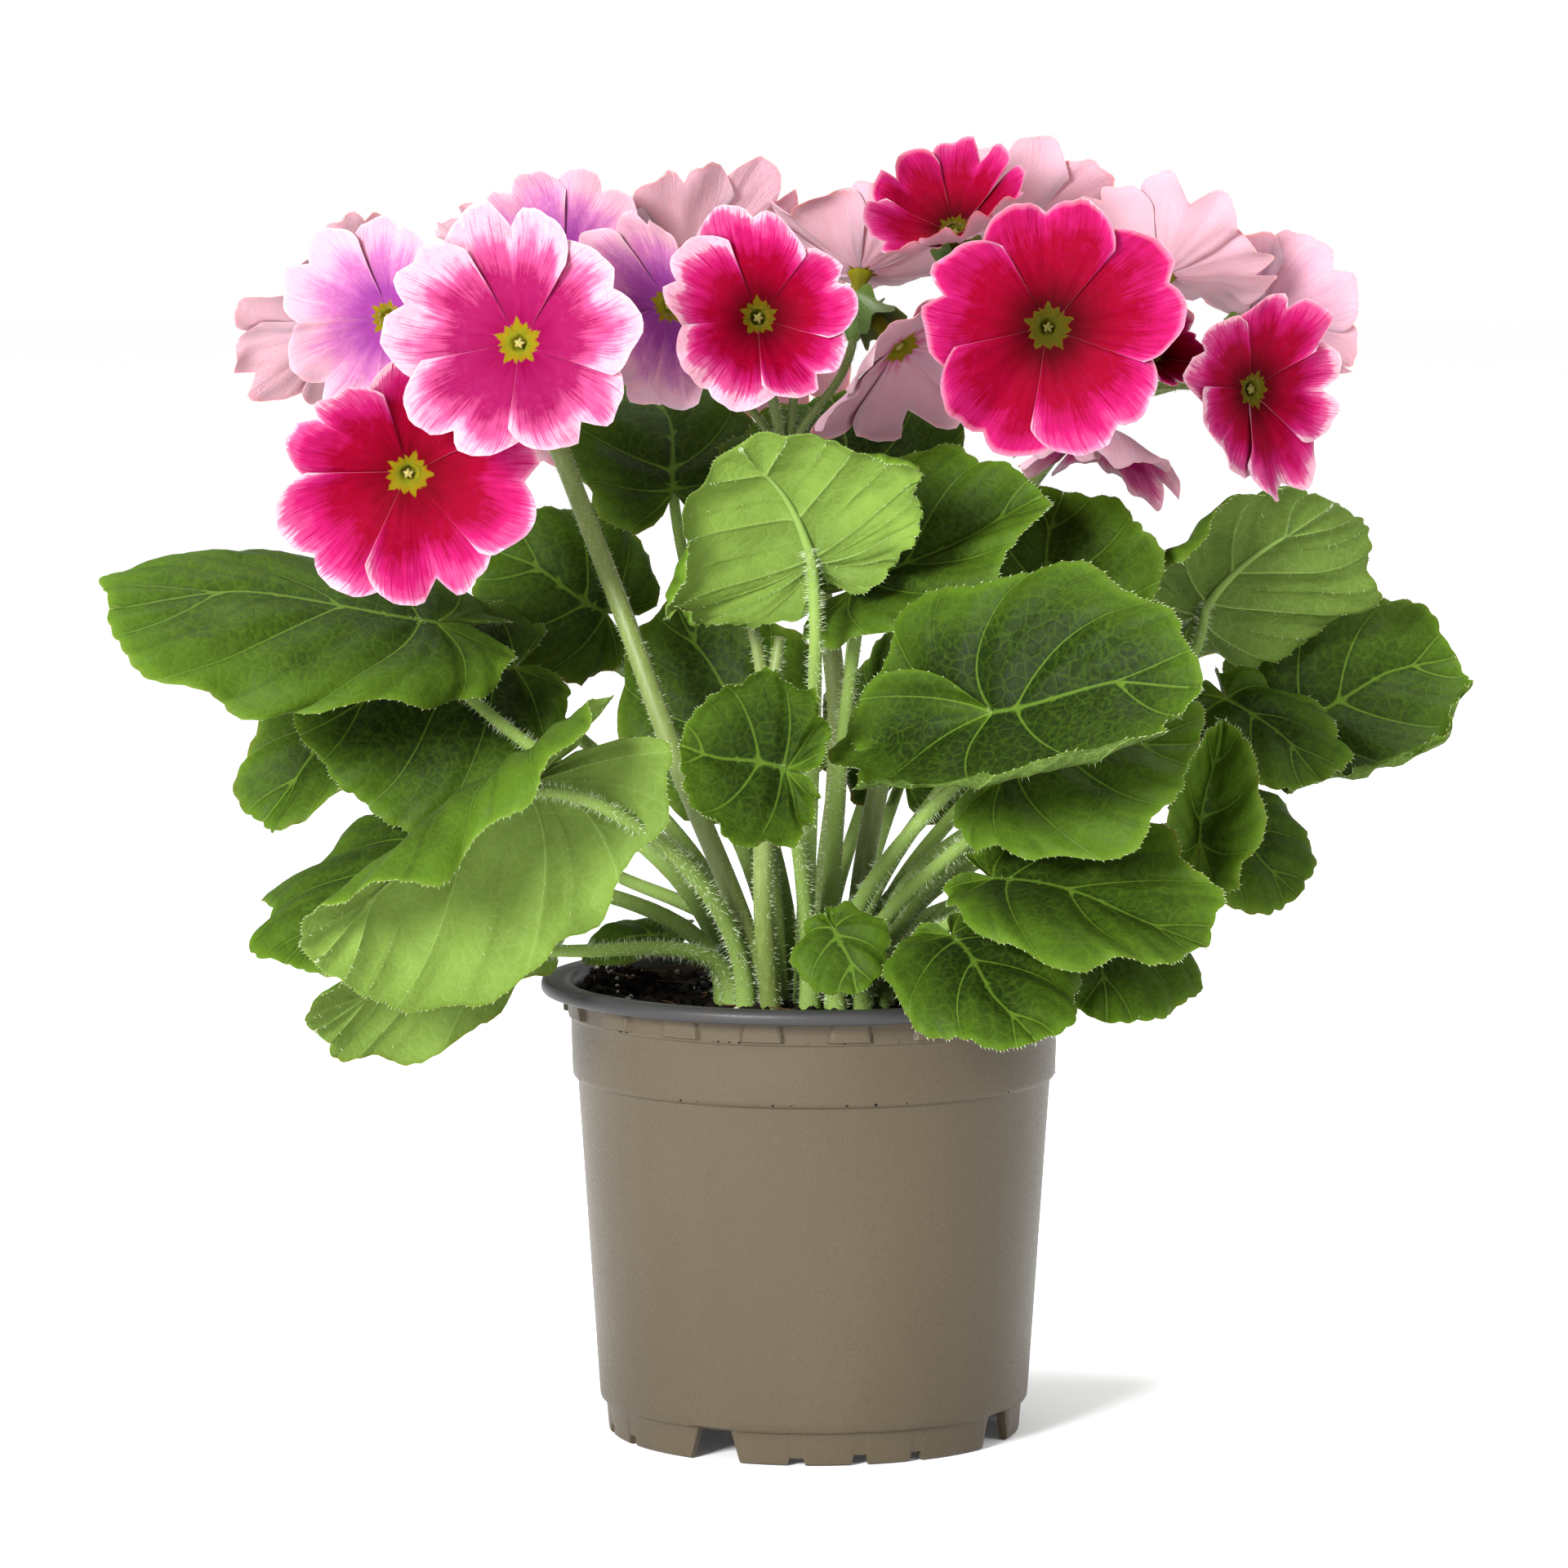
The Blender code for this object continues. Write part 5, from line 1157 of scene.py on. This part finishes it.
def pot_finish(settings):
    """Moulded plastic: a satin taupe wall with a fine grain and faint flow marks, and a cool grey rim."""
    finish = Finish("pot_plastic", Specular_IOR_Level=0.18, Metallic=0.05)
    smooth, place = finish.smooth, finish.place()
    grain = finish.noise(place, 1800.0)
    flow = finish.noise(finish.stretched(place, 18.0, 18.0, 6.0), 1.0, 3.0)
    marks = finish.noise(place, 420.0, 3.0, 0.7)
    wall = finish.coats(
        finish.mix(smooth(flow, 0.3, 0.7), settings.wall_colour, settings.wall_light),
        (smooth(grain, 0.35, 0.75, 0.0, 0.25), settings.wall_dark),
        (smooth(marks, 0.66, 0.74, 0.0, 0.35), settings.wall_dark))
    rim = finish.mix(smooth(marks, 0.4, 0.8, 0.0, 0.5), settings.rim_colour, settings.wall_dark)
    height = finish.node("SeparateXYZ", "Z", {0: place})
    colour = finish.mix(smooth(height, RIM_LINE * MM, (RIM_LINE + 0.15) * MM), wall, rim)
    relief = finish.plus(grain, finish.times(flow, 0.4))
    return finish.shade(colour, relief, 0.12, 0.0002, smooth(grain, 0.2, 0.8, 0.36, 0.5))


def soil_height(x, y):
    """The top of the soil: low waves, and a heap by the rim on the left."""
    waves = np.sin(0.23 * x + 1.1) * np.cos(0.19 * y - 0.4) + 0.6 * np.sin(0.41 * x - 0.33 * y)
    heap = 6.5 * np.exp(-((x + 43) ** 2 + (y - 6) ** 2) / 110)
    return SOIL_LEVEL + 1.1 * waves + heap


def lumps(skin, centres, sizes, rng, **values):
    """Small rough lumps: twenty faces each, their twelve corners pushed in and out at random."""
    golden = (1 + 5 ** 0.5) / 2
    corners = []
    for a, b in ((1, golden), (1, -golden), (-1, golden), (-1, -golden)):
        corners += [(0, a, b), (a, b, 0), (b, 0, a)]
    corners = unit(np.array(corners, float))
    gaps = np.linalg.norm(corners[:, None] - corners[None], axis=-1)
    close = (gaps > 0.1) & (gaps < 1.1)
    faces = np.array([(i, j, k) for i in range(12) for j in range(i + 1, 12) for k in range(j + 1, 12)
                      if close[i, j] and close[j, k] and close[i, k]])
    count = len(centres)
    push = rng.uniform(0.6, 1.25, (count, 12, 1)) * rng.uniform(0.7, 1.2, (count, 1, 3))
    points = np.asarray(centres)[:, None] + np.asarray(sizes)[:, None, None] * corners * push
    skin.add(points, (12 * np.arange(count)[:, None, None] + faces).reshape(-1, 3), **values)


def soil_skin(settings):
    """The peat: a polar grid whose top is low waves and crumbs of three sizes, with lumps, grit and fibres on it, and
    a few crumbs that have fallen on the two ledges of the pot."""
    rng = np.random.default_rng(5)
    skin = Skin()
    turn = np.linspace(0, 2 * math.pi, 300, endpoint=False)[None, :]
    radius = np.linspace(51.4, 0, 96)[:, None]
    x, y = radius * np.cos(turn), radius * np.sin(turn)
    flat = round_pot(radius, turn, 0)
    crumbs = sum(share * np.abs(drift(flat, size, seed))
                 for share, size, seed in ((1.3, 4.5, 3), (0.9, 2.1, 4), (0.45, 1.0, 5)))
    z = soil_height(x, y) + settings.crumb / MM * (crumbs - 0.7)
    z[0] = np.minimum(z[0], 97.5)
    wall = ((0, 9.6), (30, 9.6), (45.6, 9.6), (47.5, 35), (49.5, 65), (51.2, 90))
    points = np.concatenate([*(round_pot(r, turn, level) for r, level in wall), round_pot(radius, turn, z)])
    skin.add(points, grid_faces(*points.shape[:2], closed=True))

    def scattered(count, heap_share):
        r = SOIL_EDGE * np.sqrt(rng.random(count))
        a = rng.uniform(0, 2 * math.pi, count)
        px, py = r * np.cos(a), r * np.sin(a)
        heaped = rng.random(count) < heap_share
        px = np.where(heaped, -42 + rng.normal(0, 4.5, count), px)
        py = np.where(heaped, 6 + rng.normal(0, 7, count), py)
        inside = np.minimum(1, SOIL_EDGE / np.hypot(px, py))
        return np.stack([px * inside, py * inside, soil_height(px, py) + 0.5], axis=-1)

    lumps(skin, scattered(CRUMBS, 0.25), rng.uniform(0.4, 1.5, CRUMBS), rng)
    lumps(skin, scattered(GRIT, 0.1) + (0, 0, 0.7), rng.uniform(0.3, 0.75, GRIT), rng, speck=1.0)
    for start in scattered(FIBRES, 0.3):
        step = np.array([*rng.normal(0, 1, 2), rng.normal(0, 0.25)])
        bow = rng.normal(0, 1.2, 3)
        path = bezier(start, start + 2 * step + bow, start + 4 * step + bow, start + 6 * step, 7)
        path[:, 2] = np.maximum(path[:, 2], start[2] + 0.4)
        path[:, :2] *= np.minimum(1, FIBRE_EDGE / np.linalg.norm(path[:, :2], axis=1))[:, None]
        tube(skin, path, np.full(7, rng.uniform(0.09, 0.2)), 4, speck=0.5)
    turn = rng.uniform(0, 2 * math.pi, FALLEN)
    low = rng.random(FALLEN) < 0.5
    size = rng.uniform(0.14, 0.34, FALLEN)
    lumps(skin, round_pot(np.where(low, 53.1, 54.15), turn, np.where(low, 79.3, 92.75)), size, rng)
    return skin


def soil_finish(settings):
    """Damp peat: near black with brown crumbs, tan fibres and white grit, rough with a few damp glints."""
    finish = Finish("peat", Specular_IOR_Level=0.1)
    crumbs = finish.noise(finish.place(), 900.0, 4.0, 0.7)
    damp = finish.noise(finish.place(), 220.0)
    speck = finish.attribute("speck")
    colour = finish.coats(
        finish.mix(finish.smooth(crumbs, 0.45, 0.75), settings.peat_dark, settings.peat_brown),
        (finish.smooth(speck, 0.2, 0.45), settings.fibre_tan),
        (finish.smooth(speck, 0.6, 0.9), settings.grit_white))
    return finish.shade(colour, crumbs, 0.6, 0.0006, finish.smooth(damp, 0.4, 0.7, 0.95, 0.6))


def floor_finish(settings):
    """White paper with faint clouds, which gives back a little light of its own."""
    finish = Finish("floor_paper", Roughness=0.9, Specular_IOR_Level=0.1, Emission_Color=(1.0, 1.0, 1.0),
                    Emission_Strength=0.035)
    clouds = finish.smooth(finish.noise(finish.place(), 12.0), 0.3, 0.7, 0.0, 0.1)
    pale = settings.floor_colour
    finish.put(finish.shader.inputs["Base Color"], finish.mix(clouds, pale, [0.96 * v for v in pale]))
    return finish.material


# Settings

def tint(label, text, red, green, blue):
    """A colour that the user may change, given as display values."""
    return FloatVectorProperty(name=label, description=text, subtype="COLOR", size=3, min=0, max=1,
                               default=display(red, green, blue))


def measure(label, text, metres, most):
    """A length that the user may change."""
    return FloatProperty(name=label, description=text, unit="LENGTH", default=metres, min=0, max=most, precision=5)


def hair_share():
    """How many of the hairs the user wants."""
    return FloatProperty(name="Hairiness", description="Share of the full number of hairs", default=1.0, min=0.1,
                         max=1.5, subtype="FACTOR")


class LeafSettings(bpy.types.PropertyGroup):
    dark_green: tint("Dark green", "Upper side of the darkest leaves", 12, 24, 3)
    light_green: tint("Light green", "Upper side of the lightest leaves", 59, 83, 16)
    margin_green: tint("Margin green", "Upper side towards the margin", 80, 108, 22)
    vein_green: tint("Vein green", "Veins of the upper side", 88, 116, 34)
    under_dark: tint("Underside, dark", "Underside of the darkest leaves", 48, 64, 22)
    under_light: tint("Underside, light", "Underside of the lightest leaves", 97, 121, 49)
    stalk_green: tint("Leaf stalks", "Stalks and veins of the underside", 106, 128, 64)
    hair_white: tint("Hairs", "Hairs and bristles", 180, 190, 155)
    quilting: measure("Quilting", "How far the blade stands up between its veins", 0.0014, 0.003)
    hair_length: measure("Hair length", "Length of the hairs on the leaf stalks", 0.0015, 0.004)
    hairiness: hair_share()


class BloomSettings(bpy.types.PropertyGroup):
    crimson_core: tint("Crimson heart", "Crimson petals round the eye", 80, 0, 9)
    crimson_face: tint("Crimson", "Crimson petals", 107, 0, 25)
    crimson_lobe: tint("Crimson lobes", "Outer part of crimson petals", 138, 16, 76)
    pink_core: tint("Pink heart", "Pink petals round the eye", 100, 1, 46)
    pink_face: tint("Pink", "Pink petals", 112, 13, 62)
    rose_margin: tint("Rose", "Rose between the deep colour and the pale margin", 152, 62, 104)
    lilac_core: tint("Lilac heart", "Lilac petals round the eye", 112, 44, 110)
    lilac_face: tint("Lilac", "Lilac petals", 146, 84, 130)
    pale_face: tint("Pale pink", "Pale petals", 172, 131, 145)
    margin_white: tint("Petal margin", "Margin of all petals", 160, 132, 144)
    back_white: tint("Petal back", "Back of all petals", 186, 152, 163)
    eye_yellow: tint("Eye", "Star round the throat", 107, 88, 6)
    eye_green: tint("Throat ring", "Ring round the throat", 100, 96, 15)
    eye_dark: tint("Throat", "Inside of the throat", 90, 86, 18)
    anther_cream: tint("Anthers", "Knob of the anthers", 142, 134, 78)
    thickness: measure("Petal thickness", "Thickness of the petals", 0.0004, 0.001)


class StalkSettings(bpy.types.PropertyGroup):
    stalk_green: tint("Stalk green", "Flower stalks", 88, 102, 44)
    stalk_olive: tint("Stalk olive", "Patches on flower stalks", 94, 110, 50)
    stalk_pale: tint("Stalk pale", "Fine lines on flower stalks", 118, 132, 74)
    cup_green: tint("Cup green", "Green cups behind the blooms", 78, 106, 36)
    cup_dark: tint("Cup dark", "Patches on the green cups", 54, 82, 24)
    hair_white: tint("Hairs", "Hairs on the stalks", 180, 190, 155)
    hairiness: hair_share()


class PotSettings(bpy.types.PropertyGroup):
    wall_colour: tint("Wall", "Wall of the pot", 66, 58, 45)
    wall_light: tint("Wall, light", "Lighter flow marks of the wall", 72, 63, 49)
    wall_dark: tint("Wall, dark", "Grain of the wall", 51, 44, 34)
    rim_colour: tint("Rim", "Rim of the pot", 45, 45, 47)


class SoilSettings(bpy.types.PropertyGroup):
    peat_dark: tint("Peat, dark", "Damp peat", 13, 9, 8)
    peat_brown: tint("Peat, brown", "Dry crumbs of peat", 36, 24, 18)
    fibre_tan: tint("Fibres", "Fibres in the peat", 74, 50, 34)
    grit_white: tint("Grit", "White grit in the peat", 150, 146, 132)
    crumb: measure("Crumb height", "Height of the crumbs of the soil", 0.001, 0.003)


class StageSettings(bpy.types.PropertyGroup):
    floor_colour: tint("Floor", "Floor under the pot", 248, 248, 248)
    sky: FloatProperty(name="Ambient light", description="Strength of the light from all round", default=1.0, min=0)
    key: FloatProperty(name="Main light", description="Power of the main soft light", default=90.0, min=0,
                       unit="POWER")


# Operators

class PrimrosePot(bpy.types.Operator):
    """Make the fine pot"""

    bl_idname = "primrose.pot"
    bl_label = "Pot"

    def execute(self, context):
        cut_drains(finished(pot_skin(), "pot", pot_finish(context.scene.primrose_pot), 38))
        return {"FINISHED"}


class PrimroseSoil(bpy.types.Operator):
    """Make the soil with its crumbs, grit and fibres"""

    bl_idname = "primrose.soil"
    bl_label = "Soil"

    def execute(self, context):
        settings = context.scene.primrose_soil
        finished(soil_skin(settings), "soil", soil_finish(settings), 50)
        return {"FINISHED"}


class PrimroseLeaves(bpy.types.Operator):
    """Make every leaf with its stalk, veins and hairs"""

    bl_idname = "primrose.leaves"
    bl_label = "Leaves"

    def execute(self, context):
        settings = context.scene.primrose_leaves
        finish = leaf_finish(settings)
        for index, row in enumerate(LEAVES):
            leaf({**USUAL_LEAF, **dict(zip(LEAF_KEYS, row)), **row[-1]}, index, settings, finish)
        return {"FINISHED"}


class PrimroseBlooms(bpy.types.Operator):
    """Make every bloom with its petals, eye and anthers"""

    bl_idname = "primrose.blooms"
    bl_label = "Blooms"

    def execute(self, context):
        s = context.scene.primrose_blooms
        stops = {
            "crimson": [(0.0, s.crimson_core), (0.4, s.crimson_face), (0.52, s.crimson_face), (0.76, s.crimson_lobe),
                        (0.93, s.rose_margin), (1.0, s.pale_face)],
            "pink": [(0.0, s.pink_core), (0.3, s.pink_face), (0.48, s.pink_face), (0.7, s.rose_margin),
                     (0.87, s.pale_face), (1.0, s.margin_white)],
            "lilac": [(0.0, s.lilac_core), (0.22, s.lilac_core), (0.58, s.lilac_face), (0.88, s.pale_face),
                      (1.0, s.margin_white)],
            "pale": [(0.0, s.rose_margin), (0.2, s.pale_face), (0.7, s.pale_face), (1.0, s.margin_white)],
        }
        finishes = {name: petal_finish("petal_" + name, stops[name], s) for name in stops}
        for index, spec in enumerate(bloom_specs()):
            bloom(spec, index, s, finishes[spec["colour"]])
        return {"FINISHED"}


class PrimroseStalks(bpy.types.Operator):
    """Make the flower stalks with their green cups, bracts and hairs"""

    bl_idname = "primrose.stalks"
    bl_label = "Flower stalks"

    def execute(self, context):
        settings = context.scene.primrose_stalks
        finish = stalk_finish(settings)
        for index, (side, spec) in enumerate(STALKS.items()):
            blooms = [bloom_spec for bloom_spec in bloom_specs() if bloom_spec["name"].startswith(side)]
            flower_stalk(side, spec, blooms, index, settings, finish)
        return {"FINISHED"}


class PrimroseStage(bpy.types.Operator):
    """Make the floor, the soft studio light and the camera"""

    bl_idname = "primrose.stage"
    bl_label = "Stage"

    def execute(self, context):
        settings = context.scene.primrose_stage
        scene = context.scene
        skin = Skin()
        corners = [(x * FLOOR_SIZE, y * FLOOR_SIZE, -FLOOR_DROP) for x, y in ((-1, -1), (1, -1), (1, 1), (-1, 1))]
        skin.add(corners, np.array([[0, 1, 2, 3]]))
        floor = bpy.data.objects.new("floor", skin.mesh("floor"))
        floor.data.materials.append(floor_finish(settings))
        scene.collection.objects.link(floor)

        world = bpy.data.worlds.new("studio")
        world.use_nodes = True
        background = world.node_tree.nodes["Background"]
        background.inputs["Color"].default_value = (1.0, 1.0, 1.0, 1.0)
        background.inputs["Strength"].default_value = settings.sky
        scene.world = world
        scene.view_settings.view_transform = "Standard"

        for name, (place, aim, size, share) in LAMPS.items():
            light = bpy.data.lights.new(name, "AREA")
            light.shape = "DISK"
            light.size = size
            light.energy = share * settings.key
            lamp = bpy.data.objects.new(name, light)
            lamp.location = place
            direction = Vector(aim) - Vector(place)
            lamp.rotation_euler = direction.to_track_quat("-Z", "Y").to_euler()
            scene.collection.objects.link(lamp)

        view = bpy.data.cameras.new("camera")
        view.lens = CAMERA_LENS
        view.sensor_width = 36.0
        view.clip_end = 50.0
        camera = bpy.data.objects.new("camera", view)
        camera.location = CAMERA_PLACE
        camera.rotation_euler = (math.radians(90 - CAMERA_TILT), 0.0, 0.0)
        scene.collection.objects.link(camera)
        scene.camera = camera
        return {"FINISHED"}


class PrimrosePanel(bpy.types.Panel):
    """The sizes, colours and pieces of the primrose"""

    bl_idname = "VIEW3D_PT_primrose"
    bl_label = "Potted primrose"
    bl_space_type = "VIEW_3D"
    bl_region_type = "UI"
    bl_category = "Primrose"

    def draw(self, context):
        for operator, name, group in STEPS:
            box = self.layout.box()
            box.operator(operator.bl_idname)
            for setting in group.__annotations__:
                box.prop(getattr(context.scene, name), setting)


# Every operator with the name and the group of its settings.
STEPS = (
    (PrimrosePot, "primrose_pot", PotSettings), (PrimroseSoil, "primrose_soil", SoilSettings),
    (PrimroseLeaves, "primrose_leaves", LeafSettings), (PrimroseStalks, "primrose_stalks", StalkSettings),
    (PrimroseBlooms, "primrose_blooms", BloomSettings), (PrimroseStage, "primrose_stage", StageSettings),
)


def register():
    for operator, name, group in STEPS:
        bpy.utils.register_class(group)
        setattr(bpy.types.Scene, name, PointerProperty(type=group))
        bpy.utils.register_class(operator)
    bpy.utils.register_class(PrimrosePanel)


def unregister():
    bpy.utils.unregister_class(PrimrosePanel)
    for operator, name, group in reversed(STEPS):
        bpy.utils.unregister_class(operator)
        delattr(bpy.types.Scene, name)
        bpy.utils.unregister_class(group)


def main():
    register()
    bpy.ops.primrose.pot()
    bpy.ops.primrose.soil()
    bpy.ops.primrose.leaves()
    bpy.ops.primrose.stalks()
    bpy.ops.primrose.blooms()
    bpy.ops.primrose.stage()
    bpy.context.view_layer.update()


if __name__ == "__main__":
    main()
